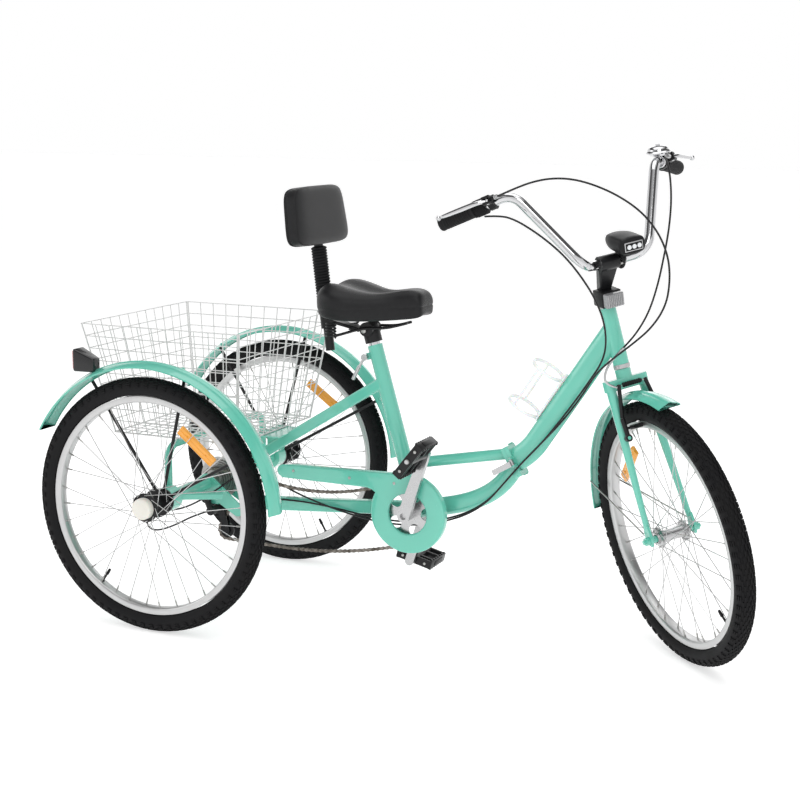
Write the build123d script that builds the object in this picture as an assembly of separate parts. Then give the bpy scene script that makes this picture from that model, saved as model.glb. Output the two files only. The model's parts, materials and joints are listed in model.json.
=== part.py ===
from build123d import *
import os
from math import asin, atan2, cos, hypot, pi, radians, sin

# Folding adult tricycle with one steered front wheel and two rear wheels, in millimetres.
# While it is modelled X runs forward from the rear axle, Y to the rider's left and Z up from the
# ground. The finished solids are then moved so that the origin is under the middle of the tricycle.
ORIGIN_AHEAD_OF_REAR_AXLE = 538.87

# ---- overall sizes
WHEEL_RADIUS = 302.0        # outside of the tyre, 24 inch wheel
TRACK = 660.0               # between the middles of the two rear tyres
WHEELBASE = 1168.0          # with the front wheel straight ahead
HEAD_ANGLE = 74.0           # steering axis from the ground
FORK_RAKE = 45.0            # front axle ahead of the steering axis
STEER_ANGLE = -46.0         # the front wheel stands turned to the rider's right
BOTTOM_BRACKET_X = 532.0
BOTTOM_BRACKET_Z = 278.0
SEAT_TUBE_TOP = (418.0, 664.0)
HEAD_TUBE_BOTTOM_Z = 662.0
HEAD_TUBE_LENGTH = 128.0

# ---- clearances
RUNNING = 0.05              # radial, shaft in bore
CLEAR = 0.3                 # pieces that almost touch
SLIDE = 0.2                 # radial, posts in tubes

# ---- wheels
TYRE_SECTION_RADIUS = 24.0
TYRE_WALL = 3.5
RIM_RADIUS = 259.5
RIM_DEPTH = 15.5
RIM_WIDTH = 27.0
RIM_BED = 6.0
RIM_WALL = 2.0
SPOKE_RADIUS = 1.0
SPOKES_PER_WHEEL = 36
SPOKE_CIRCLE = 30.0
FLANGE_RADIUS = 34.0
FLANGE_THICKNESS = 4.0
REAR_HUB_RADIUS = 22.0
REAR_FLANGE_SPACING = 50.0
HUB_CAP_RADIUS = 25.0
HUB_CAP_LENGTH = 12.0
FRONT_HUB_RADIUS = 15.0
FRONT_FLANGE_RADIUS = 24.0
FRONT_SPOKE_CIRCLE = 20.0
FRONT_FLANGE_SPACING = 62.0
FRONT_AXLE_RADIUS = 4.75

# ---- rear axle and drive
AXLE_RADIUS = 8.5
AXLE_TUBE_RADIUS = 17.0
AXLE_TUBE_BORE = 12.0
HOUSING_INNER_Y = 240.0
HOUSING_OUTER_Y = 278.0
HOUSING_RADIUS = 30.0
YOKE_RIGHT_Y = -84.0        # outer face of the right yoke plate
YOKE_LEFT_Y = -4.0          # outer face of the left yoke plate
YOKE_PLATE = 6.0
CROSS_TUBE_X = 88.0
CROSS_TUBE_Z = 242.0
CROSS_TUBE_RADIUS = 15.0
CHAIN_LINE_Y = -46.0
CHAIN_PITCH = 12.7
RING_TEETH = 38
COG_TEETH = (28, 24, 22, 20, 18, 16, 14)
COG_IN_USE = 14
COG_SPACING = 5.0
COG_THICKNESS = 2.0
PULLEY_TEETH = 11
CRANK_LENGTH = 165.0
CRANK_ANGLE = 18.5          # right crank ahead of straight up
PEDAL_TILT_RIGHT = -52.0
PEDAL_TILT_LEFT = 14.0
SHELL_RADIUS = 20.0
SHELL_BORE = 17.0
SHELL_HALF = 34.0
SPINDLE_RADIUS = 8.0
CRANK_RIGHT_Y = -72.0
CRANK_THICKNESS = 14.0

# ---- frame tubes
SEAT_TUBE_RADIUS = 18.0
SEAT_POST_RADIUS = 13.6
HEAD_TUBE_RADIUS = 18.0
STEERER_RADIUS = 12.7
QUILL_RADIUS = 11.1
MAIN_TUBE_DEPTH = 56.0
MAIN_TUBE_WIDTH = 34.0
LOWER_TUBE_DEPTH = 44.0
SLIM_TUBE_RADIUS = 13.0
HINGE_X = 773.0
HINGE_Z = 418.0
HINGE_LEAN = 59.5           # hinge plates from the ground, leaning back
HINGE_LENGTH = 76.0
HINGE_WIDTH = 44.0
HINGE_PLATE = 9.0
HINGE_PIN_RADIUS = 4.0
HINGE_PIN_OUT = 26.0

# ---- fittings
FENDER_WIDTH = 62.0
FENDER_THICKNESS = 1.6
FENDER_CROWN = 9.0
REAR_FENDER_RADIUS = 338.0
FRONT_FENDER_RADIUS = 324.0
BAR_RADIUS = 11.1
GRIP_RADIUS = 16.0
GRIP_LENGTH = 118.0
CABLE_RADIUS = 2.5
BASKET_FLOOR_Z = 433.0
BASKET_RIM_Z = 702.0
BASKET_WIRE = 2.4
BASKET_PITCH = 31.0


# ---------------------------------------------------------------- shape helpers
def rod(start, end, radius, bore=0.0):
    """Straight round bar or tube between two points."""
    axis = Vector(*end) - Vector(*start)
    plane = Plane(origin=start, z_dir=axis)
    bar = extrude(plane * Circle(radius), axis.length)
    if bore:
        bar -= extrude(plane * Circle(bore), axis.length)
    return bar


def flat_bar(start, end, depth, width):
    """Straight bar of rectangular section, its width along Y."""
    axis = Vector(*end) - Vector(*start)
    plane = Plane(origin=start, x_dir=(0, 1, 0), z_dir=axis)
    return extrude(plane * RectangleRounded(width, depth, min(width, depth) * 0.2), axis.length)


def bent_rod(points, radii, radius, bore=0.0):
    """Round bar that follows straight runs joined by arcs."""
    path = FilletPolyline(*points, radius=radii)
    plane = Plane(origin=path @ 0, z_dir=path % 0)
    bar = sweep(plane * Circle(radius), path=path)
    if bore:
        bar -= sweep(plane * Circle(bore), path=path)
    return bar


def cord_radii(points):
    """Arc radius at each inner point of a cable: 0.45 of its shorter run over tan(half the turn)."""
    radii = []
    for before, here, after in zip(points, points[1:], points[2:]):
        first = Vector(*here) - Vector(*before)
        second = Vector(*after) - Vector(*here)
        turn = radians(first.get_angle(second))
        radii.append(0.45 * min(first.length, second.length) / sin(turn / 2) * cos(turn / 2))
    return radii


def cable(points):
    radii = cord_radii(points)
    print("cable radii", [round(radius) for radius in radii])
    return bent_rod(points, radii, CABLE_RADIUS)


def disc(centre, radius, y_from, y_to, bore=0.0):
    """Round plate or barrel about a line along Y."""
    x, z = centre
    return rod((x, y_from, z), (x, y_to, z), radius, bore)


def plate(outline, y_from, y_to):
    """Flat plate cut from an XZ outline, between two Y values."""
    face = make_face(Plane.XZ * Polyline(*outline, close=True))
    return extrude(face, abs(y_to - y_from), dir=(0, 1, 0)).moved(Pos(0, min(y_from, y_to), 0))


def turned_ring(section):
    """Ring about the Y axis; the section is drawn with radius on X and width on Y."""
    return revolve(section, Axis.Y, 360)


def solids(*shapes):
    """One node made of several separate solids."""
    return Compound(children=[s for shape in shapes for s in shape.solids()])


# ---------------------------------------------------------------- steering frame
LEAN = radians(HEAD_ANGLE)
AXIS_UP = Vector(-cos(LEAN), 0, sin(LEAN))
AXIS_FORWARD = Vector(sin(LEAN), 0, cos(LEAN))
AXIS_FOOT = Vector(WHEELBASE, 0, WHEEL_RADIUS) - AXIS_FORWARD * FORK_RAKE


def on_axis(height, ahead=0.0, side=0.0):
    """Point at a height above the ground on the steering axis, then ahead of it and to one side."""
    along = (height - AXIS_FOOT.Z) / AXIS_UP.Z
    point = AXIS_FOOT + AXIS_UP * along + AXIS_FORWARD * ahead
    return (point.X, side, point.Z)


def steered_point(point):
    """Where a point of the straight-ahead fork group lies once it is turned."""
    away = Vector(*point) - AXIS_FOOT
    return tuple(AXIS_FOOT + away.rotate(Axis(AXIS_FOOT, AXIS_UP), STEER_ANGLE))


def steered(shape):
    """Turn what was modelled straight ahead to where the fork stands."""
    axis = Axis(AXIS_FOOT, AXIS_UP)
    return shape.rotate(axis, STEER_ANGLE)


# ---------------------------------------------------------------- wheels, about the Y axis
def tyre():
    middle = WHEEL_RADIUS - TYRE_SECTION_RADIUS
    section = Pos(middle, 0) * (Circle(TYRE_SECTION_RADIUS) - Circle(TYRE_SECTION_RADIUS - TYRE_WALL))
    inside_rim = Pos(RIM_RADIUS - 50 + CLEAR, 0) * Rectangle(100, 100)
    return turned_ring(section - inside_rim)


def rim():
    middle = RIM_RADIUS - RIM_DEPTH / 2
    section = Pos(middle, 0) * Rectangle(RIM_DEPTH, RIM_WIDTH)
    well = Pos(RIM_RADIUS, 0) * Rectangle(2 * (RIM_DEPTH - RIM_BED), RIM_WIDTH - 2 * RIM_WALL)
    return turned_ring(section - well)


def spokes(circle, spacing):
    """Crossed spokes, half of them to each flange, the two directions lying side by side."""
    wires = []
    rim_end = RIM_RADIUS - RIM_DEPTH - CLEAR
    per_side = SPOKES_PER_WHEEL // 2
    for side in (1, -1):
        for i in range(per_side):
            at_rim = 2 * pi * (i + (0.25 if side > 0 else -0.25)) / per_side
            cross = 1 if i % 2 else -1
            at_hub = at_rim + cross * radians(72)
            proud = FLANGE_THICKNESS / 2 + SPOKE_RADIUS + (1.5 if cross > 0 else 0.15)
            y_hub = side * (spacing / 2 + cross * proud)
            start = (circle * cos(at_hub), y_hub, circle * sin(at_hub))
            end = (rim_end * cos(at_rim), side * 4.0, rim_end * sin(at_rim))
            wires.append(rod(start, end, SPOKE_RADIUS))
    return solids(*wires)


def rear_hub(side):
    """Hub shell pressed on the axle end, with a domed cap outside; side is 1 left, -1 right."""
    half = REAR_FLANGE_SPACING / 2
    barrel = disc((0, 0), REAR_HUB_RADIUS, -half, half, AXLE_RADIUS + RUNNING)
    for y in (-half, half):
        barrel += disc((0, 0), FLANGE_RADIUS, y - FLANGE_THICKNESS / 2, y + FLANGE_THICKNESS / 2,
                       AXLE_RADIUS + RUNNING)
    outer = side * half
    barrel += disc((0, 0), HUB_CAP_RADIUS, outer, outer + side * HUB_CAP_LENGTH, AXLE_RADIUS + RUNNING)
    return barrel


def hub_cap(side):
    start = side * (REAR_FLANGE_SPACING / 2 + HUB_CAP_LENGTH)
    return disc((0, 0), HUB_CAP_RADIUS, start, start + side * 8.0)


def front_hub():
    half = FRONT_FLANGE_SPACING / 2
    bore = FRONT_AXLE_RADIUS + RUNNING
    barrel = disc((0, 0), FRONT_HUB_RADIUS, -half - 8, half + 8, bore)
    for y in (-half, half):
        barrel += disc((0, 0), FRONT_FLANGE_RADIUS, y - FLANGE_THICKNESS / 2, y + FLANGE_THICKNESS / 2, bore)
    return barrel


# ---------------------------------------------------------------- rear frame
BOTTOM_BRACKET = (BOTTOM_BRACKET_X, 0, BOTTOM_BRACKET_Z)
SEAT_TOP = Vector(SEAT_TUBE_TOP[0], 0, SEAT_TUBE_TOP[1])
SEAT_UP = (SEAT_TOP - Vector(*BOTTOM_BRACKET)).normalized()
HINGE_UP = Vector(-cos(radians(HINGE_LEAN)), 0, sin(radians(HINGE_LEAN)))
HINGE_FORWARD = Vector(sin(radians(HINGE_LEAN)), 0, cos(radians(HINGE_LEAN)))
HINGE = Vector(HINGE_X, 0, HINGE_Z)
RACK_TUBE_RADIUS = 9.0
RACK_HOOP_X = -14.0
RACK_HALF = HOUSING_INNER_Y - 10
RACK_TOP_Z = BASKET_FLOOR_Z - BASKET_WIRE / 2 - CLEAR - RACK_TUBE_RADIUS
GUSSET_X = 158.0
CLAMP_DROP = 22.0           # seat clamp bolt below the top of the seat tube
CLAMP_BOLT_BACK = 27.0      # and behind its axis
CLAMP_SLOT = 3.0
CLAMP_BOLT_RADIUS = 3.0


def on_seat_tube(height, back=0.0):
    """Point on the seat tube's axis at a height above the ground, then square behind it."""
    along = (height - BOTTOM_BRACKET_Z) / SEAT_UP.Z
    point = Vector(*BOTTOM_BRACKET) + SEAT_UP * along - Vector(SEAT_UP.Z, 0, -SEAT_UP.X) * back
    return (point.X, 0, point.Z)


def hinge_plane(offset):
    """Plane across the frame at the fold, moved along the frame by an offset."""
    return Plane(origin=HINGE + HINGE_FORWARD * offset, x_dir=(0, 1, 0), z_dir=HINGE_FORWARD)


def past_hinge(direction):
    """All that lies beyond one hinge plate, for trimming the tubes that end on it."""
    return hinge_plane(direction * (HINGE_PLATE / 2)) * Pos(0, 0, -direction * 60) * Box(160, 200, 120)


def swept_tube(points, depth, width):
    """Oval tube that follows a smooth curve in the XZ plane."""
    path = Spline(*points)
    plane = Plane(origin=path @ 0, x_dir=(0, 1, 0), z_dir=path % 0)
    return sweep(plane * Ellipse(width / 2, depth / 2), path=path)


def yoke_plate(outer_y, direction):
    """Plate that carries an axle tube beside the freewheel and reaches down to the cross tube."""
    ends = (Pos(0, WHEEL_RADIUS) * Circle(AXLE_TUBE_RADIUS + 6)).edges()
    ends += (Pos(CROSS_TUBE_X, CROSS_TUBE_Z) * Circle(CROSS_TUBE_RADIUS)).edges()
    shape = extrude(Plane.XZ * make_hull(ends), YOKE_PLATE, dir=(0, direction, 0))
    return shape.moved(Pos(0, outer_y, 0))


def rear_frame():
    seat_tube = rod(BOTTOM_BRACKET, SEAT_TOP, SEAT_TUBE_RADIUS)
    frame = seat_tube
    frame += disc((BOTTOM_BRACKET_X, BOTTOM_BRACKET_Z), SHELL_RADIUS, -SHELL_HALF, SHELL_HALF)
    frame += flat_bar((CROSS_TUBE_X, 0, CROSS_TUBE_Z + 2), (BOTTOM_BRACKET_X - 6, 0, BOTTOM_BRACKET_Z), 32, 26)
    stay_top = on_seat_tube(578)
    frame += flat_bar((16, 10, WHEEL_RADIUS + 8), (stay_top[0], 0, stay_top[2]), 26, 32)
    # Slim tube and lower tube run forward to the hinge plate.
    joint = HINGE - HINGE_FORWARD * (HINGE_PLATE + CLEAR / 2)
    upper = joint + HINGE_UP * 24
    frame += rod(on_seat_tube(384), (upper.X - 1, 0, upper.Z - 2), SLIM_TUBE_RADIUS)
    lower_end = joint - HINGE_UP * 14
    frame += swept_tube(
        [(BOTTOM_BRACKET_X, 0, BOTTOM_BRACKET_Z), (BOTTOM_BRACKET_X + 82, 0, BOTTOM_BRACKET_Z + 17),
         (BOTTOM_BRACKET_X + 155, 0, BOTTOM_BRACKET_Z + 42), (lower_end.X, 0, lower_end.Z)],
        LOWER_TUBE_DEPTH, MAIN_TUBE_WIDTH)
    frame -= past_hinge(-1)
    frame += rear_hinge_half()
    # Beam around the rear axle, cut away round the freewheel.
    middle = (0, WHEEL_RADIUS)
    frame += disc(middle, AXLE_TUBE_RADIUS, -HOUSING_INNER_Y, YOKE_RIGHT_Y)
    frame += disc(middle, AXLE_TUBE_RADIUS, YOKE_LEFT_Y, HOUSING_INNER_Y)
    frame += yoke_plate(YOKE_RIGHT_Y, 1)
    frame += yoke_plate(YOKE_LEFT_Y, -1)
    frame += disc((CROSS_TUBE_X, CROSS_TUBE_Z), CROSS_TUBE_RADIUS, YOKE_RIGHT_Y, 14)
    frame += derailleur_hanger()
    frame += basket_rack()
    for side in (1, -1):
        frame += fender_bracket(side)
    frame += brake_cable_stop()
    # Bores.
    frame -= disc(middle, AXLE_TUBE_BORE, -HOUSING_INNER_Y - 20, HOUSING_INNER_Y + 20)
    frame -= disc((BOTTOM_BRACKET_X, BOTTOM_BRACKET_Z), SHELL_BORE, -SHELL_HALF - 1, SHELL_HALF + 1)
    post_end = on_seat_tube(SEAT_TUBE_TOP[1] - 190)
    frame -= rod(post_end, on_seat_tube(SEAT_TUBE_TOP[1] + 20), SEAT_POST_RADIUS + SLIDE)
    frame += clamp_ears()
    return frame


def clamp_ears():
    """Two lugs behind a slot at the top of the seat tube, bored for the quick-release bolt."""
    middle = on_seat_tube(SEAT_TUBE_TOP[1] - CLAMP_DROP, CLAMP_BOLT_BACK)
    root = on_seat_tube(SEAT_TUBE_TOP[1] - CLAMP_DROP, SEAT_TUBE_RADIUS - 3)
    ears = None
    for y_from, y_to in ((CLAMP_SLOT / 2, 9), (-9, -CLAMP_SLOT / 2)):
        ends = (Pos(middle[0], middle[2]) * Circle(8)).edges() + (Pos(root[0], root[2]) * Circle(8)).edges()
        face = Plane.XZ * make_hull(ends)
        ear = extrude(face, y_to - y_from, dir=(0, 1, 0)).moved(Pos(0, y_from, 0))
        ears = ear if ears is None else ears + ear
    ears -= disc((middle[0], middle[2]), CLAMP_BOLT_RADIUS + RUNNING, -12, 12)
    ears -= rod(on_seat_tube(SEAT_TUBE_TOP[1] - 60), on_seat_tube(SEAT_TUBE_TOP[1] + 20),
                SEAT_TUBE_RADIUS - 1.0)
    return ears


def rear_hinge_half():
    """Plate across the frame with two knuckles on the left for the fold pin."""
    face = hinge_plane(-CLEAR / 2) * RectangleRounded(HINGE_WIDTH, HINGE_LENGTH, 6)
    half = extrude(face, HINGE_PLATE, dir=-HINGE_FORWARD)
    for low, high in ((-HINGE_LENGTH / 2, -HINGE_LENGTH / 6 - CLEAR), (HINGE_LENGTH / 6 + CLEAR, HINGE_LENGTH / 2)):
        half += knuckle(low, high)
    half -= front_knuckle_room()
    return half - pin_bore()


def pin_point(height):
    return (HINGE + HINGE_UP * height + Vector(0, HINGE_PIN_OUT, 0))


def knuckle(low, high):
    return rod(pin_point(low), pin_point(high), HINGE_PIN_RADIUS + 4.5)


def pin_bore():
    return rod(pin_point(-HINGE_LENGTH), pin_point(HINGE_LENGTH), HINGE_PIN_RADIUS + RUNNING)


def front_knuckle_room():
    reach = HINGE_LENGTH / 6 + CLEAR
    return rod(pin_point(-reach), pin_point(reach), HINGE_PIN_RADIUS + 4.5 + CLEAR)


def rear_knuckle_room():
    """What the front half leaves free for the rear half's two knuckles."""
    inner = HINGE_LENGTH / 6
    return (rod(pin_point(-HINGE_LENGTH), pin_point(-inner), HINGE_PIN_RADIUS + 4.5 + CLEAR)
            + rod(pin_point(inner), pin_point(HINGE_LENGTH), HINGE_PIN_RADIUS + 4.5 + CLEAR))


def derailleur_hanger():
    """Tab below the right yoke plate that the derailleur is bolted to."""
    return plate([(-22, WHEEL_RADIUS - 12), (30, WHEEL_RADIUS - 12), (34, WHEEL_RADIUS - 50),
                  (-10, WHEEL_RADIUS - 50)], YOKE_RIGHT_Y, YOKE_RIGHT_Y + YOKE_PLATE)


def basket_rack():
    """Hoop over the axle beam and a plate on the seat stay, which carry the basket."""
    foot_z = WHEEL_RADIUS + AXLE_TUBE_RADIUS - 4
    hoop = bent_rod([(RACK_HOOP_X, -RACK_HALF, foot_z), (RACK_HOOP_X, -RACK_HALF, RACK_TOP_Z),
                     (RACK_HOOP_X, RACK_HALF, RACK_TOP_Z), (RACK_HOOP_X, RACK_HALF, foot_z)],
                    [34, 34], RACK_TUBE_RADIUS)
    shelf_top = BASKET_FLOOR_Z - BASKET_WIRE / 2 - CLEAR
    shelf = Pos(GUSSET_X, 0, shelf_top - 1.5) * Box(70, 130, 3)
    web = plate([(GUSSET_X - 30, shelf_top - 1), (GUSSET_X + 30, shelf_top - 1), (GUSSET_X + 16, 390),
                 (GUSSET_X - 30, 372)], -2, 2)
    return hoop + shelf + web


def fender_bracket(side):
    """Strut from the end of the axle beam up and out, inboard of the wheel."""
    y = side * (HOUSING_INNER_Y - 12)
    return flat_bar((0, y, WHEEL_RADIUS), (64, side * 120, CROSS_TUBE_Z + 44), 16, 18)


REAR_STOP = (165.0, -18.0, 262.0)


def brake_cable_stop():
    """Lug on the right of the chainstay where the rear brake's housing ends."""
    return Pos(*REAR_STOP) * Box(10, 14, 14)


# ---------------------------------------------------------------- fitted to the rear frame
def frame_bearings():
    """Pillow housings at the ends of the axle beam and the two bottom bracket cups."""
    pieces = []
    for side in (1, -1):
        inner = side * (HOUSING_INNER_Y + CLEAR)
        outer = side * HOUSING_OUTER_Y
        housing = disc((0, WHEEL_RADIUS), HOUSING_RADIUS, inner, outer, AXLE_RADIUS + RUNNING)
        pieces.append(housing)
        cup = disc((BOTTOM_BRACKET_X, BOTTOM_BRACKET_Z), SHELL_BORE - CLEAR, side * (SHELL_HALF - 14),
                   side * (SHELL_HALF + 0.2), SPINDLE_RADIUS + RUNNING)
        cup += disc((BOTTOM_BRACKET_X, BOTTOM_BRACKET_Z), SHELL_RADIUS, side * (SHELL_HALF + 0.2),
                    side * (SHELL_HALF + 3.2), SPINDLE_RADIUS + RUNNING)
        pieces.append(cup)
    return solids(*pieces)


GUARD_RADIUS = 94.0
GUARD_HOLE_RADIUS = 49.0
GUARD_Y = -62.0
GUARD_SHEET = 1.6
GUARD_FLANGE = 18.0
GUARD_REACH = 345.0         # length of the arm behind the bottom bracket
GUARD_ARM_DEPTH = 40.0


def chainguard():
    """Pressed disc round the chainring and an arm over the upper run, with an inward flange."""
    x, z = BOTTOM_BRACKET_X, BOTTOM_BRACKET_Z
    rear = x - GUARD_REACH
    top_rear = z + GUARD_RADIUS - 6
    outline = make_hull(
        (Pos(x, z) * Circle(GUARD_RADIUS)).edges()
        + (Pos(rear, top_rear - 4) * Circle(4)).edges())
    lower = Polyline((rear - 10, top_rear - GUARD_ARM_DEPTH), (x - 84, z + 42), (x - 160, z - 140),
                     (rear - 10, z - 140), close=True)
    outline = outline - make_face(lower) + Pos(x, z) * Circle(GUARD_RADIUS)
    face = Plane.XZ * outline
    sheet = extrude(face, GUARD_SHEET, dir=(0, 1, 0))
    skirt = extrude(face, GUARD_FLANGE, dir=(0, 1, 0)) - extrude(
        Plane.XZ * offset(outline, -GUARD_SHEET), GUARD_FLANGE + 1, dir=(0, 1, 0))
    lower_edge = (Pos(0, 6) * make_face(lower)) - Pos(x, z) * Circle(GUARD_RADIUS - 2 * GUARD_SHEET)
    skirt -= extrude(Plane.XZ * lower_edge, GUARD_FLANGE + 1, dir=(0, 1, 0))
    skirt &= Pos(x - 40, GUARD_FLANGE / 2, z + 140) * Box(900, 60, 280)
    guard = sheet + skirt
    guard -= disc((x, z), GUARD_HOLE_RADIUS, -5, GUARD_FLANGE + 5)
    guard = guard.moved(Pos(0, GUARD_Y, 0))
    # Standoff from the seat tube, between the chain and the flange.
    foot = on_seat_tube(z + GUARD_RADIUS - 9)
    return guard + disc((foot[0], foot[2]), 4, GUARD_Y + GUARD_SHEET / 2, -SEAT_TUBE_RADIUS - CLEAR)


GUIDE_PULLEY = (22.0, 238.0)
TENSION_PULLEY = (38.0, 178.0)
UPPER_SAG = ((270.0, 303.0), 560.0)     # lowest point of the slack upper run and its curve
LOWER_SAG = ((215.0, 153.0), 1050.0)
CHAIN_HEIGHT = 7.6
CHAIN_WIDTH = 6.0


def pitch_radius(teeth):
    return CHAIN_PITCH / (2 * sin(pi / teeth))


def wrap(circles):
    """Closed line over circles (centre, radius, +1 for anticlockwise), joined by common tangents."""
    contacts = []
    for here, there in zip(circles, circles[1:] + circles[:1]):
        (c1, r1, s1), (c2, r2, s2) = here, there
        across = (c2[0] - c1[0], c2[1] - c1[1])
        lift = s1 * r1 - s2 * r2
        heading = atan2(across[1], across[0]) + asin(lift / hypot(*across))
        normal = (sin(heading), -cos(heading))
        leave = (c1[0] + s1 * r1 * normal[0], c1[1] + s1 * r1 * normal[1])
        arrive = (c2[0] + s2 * r2 * normal[0], c2[1] + s2 * r2 * normal[1])
        contacts.append((leave, arrive))
    edges = []
    for i, (centre, radius, turn) in enumerate(circles):
        arrive, leave = contacts[i - 1][1], contacts[i][0]
        first = atan2(arrive[1] - centre[1], arrive[0] - centre[0])
        last = atan2(leave[1] - centre[1], leave[0] - centre[0])
        swept = (last - first) * turn % (2 * pi)
        half = first + turn * swept / 2
        middle = (centre[0] + radius * cos(half), centre[1] + radius * sin(half))
        edges.append(ThreePointArc(arrive, middle, leave))
        edges.append(Line(leave, contacts[i][1]))
    return edges


def chain():
    """The chain as one band along its pitch line, slack between the sprockets."""
    upper, lower = UPPER_SAG, LOWER_SAG
    edges = wrap([
        ((BOTTOM_BRACKET_X, BOTTOM_BRACKET_Z), pitch_radius(RING_TEETH), 1),
        ((upper[0][0], upper[0][1] + upper[1]), upper[1], -1),
        ((0, WHEEL_RADIUS), pitch_radius(COG_IN_USE), 1),
        (GUIDE_PULLEY, pitch_radius(PULLEY_TEETH), -1),
        (TENSION_PULLEY, pitch_radius(PULLEY_TEETH), 1),
        ((lower[0][0], lower[0][1] + lower[1]), lower[1], 1),
    ])
    loop = make_face(Wire(edges))
    band = offset(loop, CHAIN_HEIGHT / 2) - offset(loop, -CHAIN_HEIGHT / 2)
    band = extrude(Plane.XZ * band, CHAIN_WIDTH, dir=(0, 1, 0))
    return band.moved(Pos(0, CHAIN_LINE_Y - CHAIN_WIDTH / 2, 0))


def sprocket_radius(teeth):
    """Sprocket body without its teeth, just inside the chain."""
    return pitch_radius(teeth) - CHAIN_HEIGHT / 2 - CLEAR


def freewheel():
    """Seven cogs on a body that turns on the axle, the smallest outermost."""
    centre = (0, WHEEL_RADIUS)
    bore = AXLE_RADIUS + RUNNING
    outer = CHAIN_LINE_Y - COG_THICKNESS / 2
    inner = CHAIN_LINE_Y + COG_SPACING * (len(COG_TEETH) - 1) + COG_THICKNESS / 2
    body = disc(centre, sprocket_radius(COG_IN_USE) - 4, outer - 5, inner, bore)
    for i, teeth in enumerate(reversed(COG_TEETH)):
        middle = CHAIN_LINE_Y + COG_SPACING * i
        body += disc(centre, sprocket_radius(teeth), middle - COG_THICKNESS / 2, middle + COG_THICKNESS / 2,
                     bore)
    return body


def drive_axle():
    """Solid axle from wheel to wheel."""
    end = TRACK / 2 + REAR_FLANGE_SPACING / 2 + HUB_CAP_LENGTH - 1
    return disc((0, WHEEL_RADIUS), AXLE_RADIUS, -end, end)


DERAILLEUR_BOLT = (6.0, WHEEL_RADIUS - 36.0)
CAGE_PLATE = 2.0
CAGE_HALF = 6.0


def derailleur_body():
    """Bolted knuckle, slanting link and lower knuckle that carries the cage."""
    x, z = DERAILLEUR_BOLT
    gx, gz = GUIDE_PULLEY
    outer = YOKE_RIGHT_Y - CLEAR
    cage_outer = CHAIN_LINE_Y - CAGE_HALF - CAGE_PLATE - CLEAR
    body = disc((x, z), 11, outer - 15, outer)
    body += disc((gx - 2, gz - 2), 11, outer - 15, cage_outer)
    body += rod((x, outer - 9, z), (gx - 2, outer - 9, gz - 2), 8)
    return body


def cage_plate(y_from, y_to):
    """Cage side plate with rounded ends over the two pulley axles."""
    ends = (Pos(*GUIDE_PULLEY) * Circle(9)).edges() + (Pos(*TENSION_PULLEY) * Circle(9)).edges()
    return extrude(Plane.XZ * make_hull(ends), y_to - y_from, dir=(0, 1, 0)).moved(Pos(0, y_from, 0))


def derailleur_cage():
    """Two plates joined by the pulley bolts, and the two pulleys on them."""
    outer, inner = CHAIN_LINE_Y - CAGE_HALF, CHAIN_LINE_Y + CAGE_HALF
    cage = cage_plate(outer - CAGE_PLATE, outer) + cage_plate(inner, inner + CAGE_PLATE)
    wheels = []
    for centre in (GUIDE_PULLEY, TENSION_PULLEY):
        cage += disc(centre, 3.0, outer, inner)
        wheels.append(disc(centre, sprocket_radius(PULLEY_TEETH), CHAIN_LINE_Y - 3, CHAIN_LINE_Y + 3,
                           3.0 + RUNNING))
    return solids(cage, *wheels)


# ---------------------------------------------------------------- cranks and pedals
CRANK_TURN = radians(CRANK_ANGLE)
PEDAL_RIGHT = (BOTTOM_BRACKET_X + CRANK_LENGTH * sin(CRANK_TURN), BOTTOM_BRACKET_Z + CRANK_LENGTH * cos(CRANK_TURN))
PEDAL_LEFT = (BOTTOM_BRACKET_X - CRANK_LENGTH * sin(CRANK_TURN), BOTTOM_BRACKET_Z - CRANK_LENGTH * cos(CRANK_TURN))
PEDAL_LENGTH = 96.0
PEDAL_WIDTH = 92.0
PEDAL_DEPTH = 24.0
PEDAL_AXLE_RADIUS = 4.5
RING_THICKNESS = 3.0


def crank_spindle():
    end = abs(CRANK_RIGHT_Y) + 6
    return disc((BOTTOM_BRACKET_X, BOTTOM_BRACKET_Z), SPINDLE_RADIUS, -end, end)


def crank_arm(pedal, side):
    """Tapered arm from the spindle to the pedal, with the pedal's axle screwed into its end."""
    centre = (BOTTOM_BRACKET_X, BOTTOM_BRACKET_Z)
    inner = side * abs(CRANK_RIGHT_Y)
    ends = (Pos(*centre) * Circle(15)).edges() + (Pos(*pedal) * Circle(11)).edges()
    arm = extrude(Plane.XZ * make_hull(ends), CRANK_THICKNESS, dir=(0, side, 0)).moved(Pos(0, inner, 0))
    arm -= disc(centre, SPINDLE_RADIUS + RUNNING, inner - 2 * side, inner + 30 * side)
    outer = inner + side * CRANK_THICKNESS
    arm += disc(pedal, PEDAL_AXLE_RADIUS, inner + 2 * side, outer + side * (PEDAL_WIDTH + 12))
    return arm


def right_crank():
    """Right arm with the chainring riveted to its spider."""
    centre = (BOTTOM_BRACKET_X, BOTTOM_BRACKET_Z)
    ring = disc(centre, sprocket_radius(RING_TEETH), CHAIN_LINE_Y - RING_THICKNESS / 2,
                CHAIN_LINE_Y + RING_THICKNESS / 2)
    for i in range(5):
        at = 2 * pi * i / 5
        ring -= disc((centre[0] + 43 * cos(at), centre[1] + 43 * sin(at)), 15, CHAIN_LINE_Y - 9, CHAIN_LINE_Y + 9)
    ring += disc(centre, 15, CRANK_RIGHT_Y, CHAIN_LINE_Y + RING_THICKNESS / 2)
    ring -= disc(centre, SPINDLE_RADIUS + RUNNING, CRANK_RIGHT_Y - 2, CHAIN_LINE_Y + 9)
    return ring + crank_arm(PEDAL_RIGHT, -1)


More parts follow.
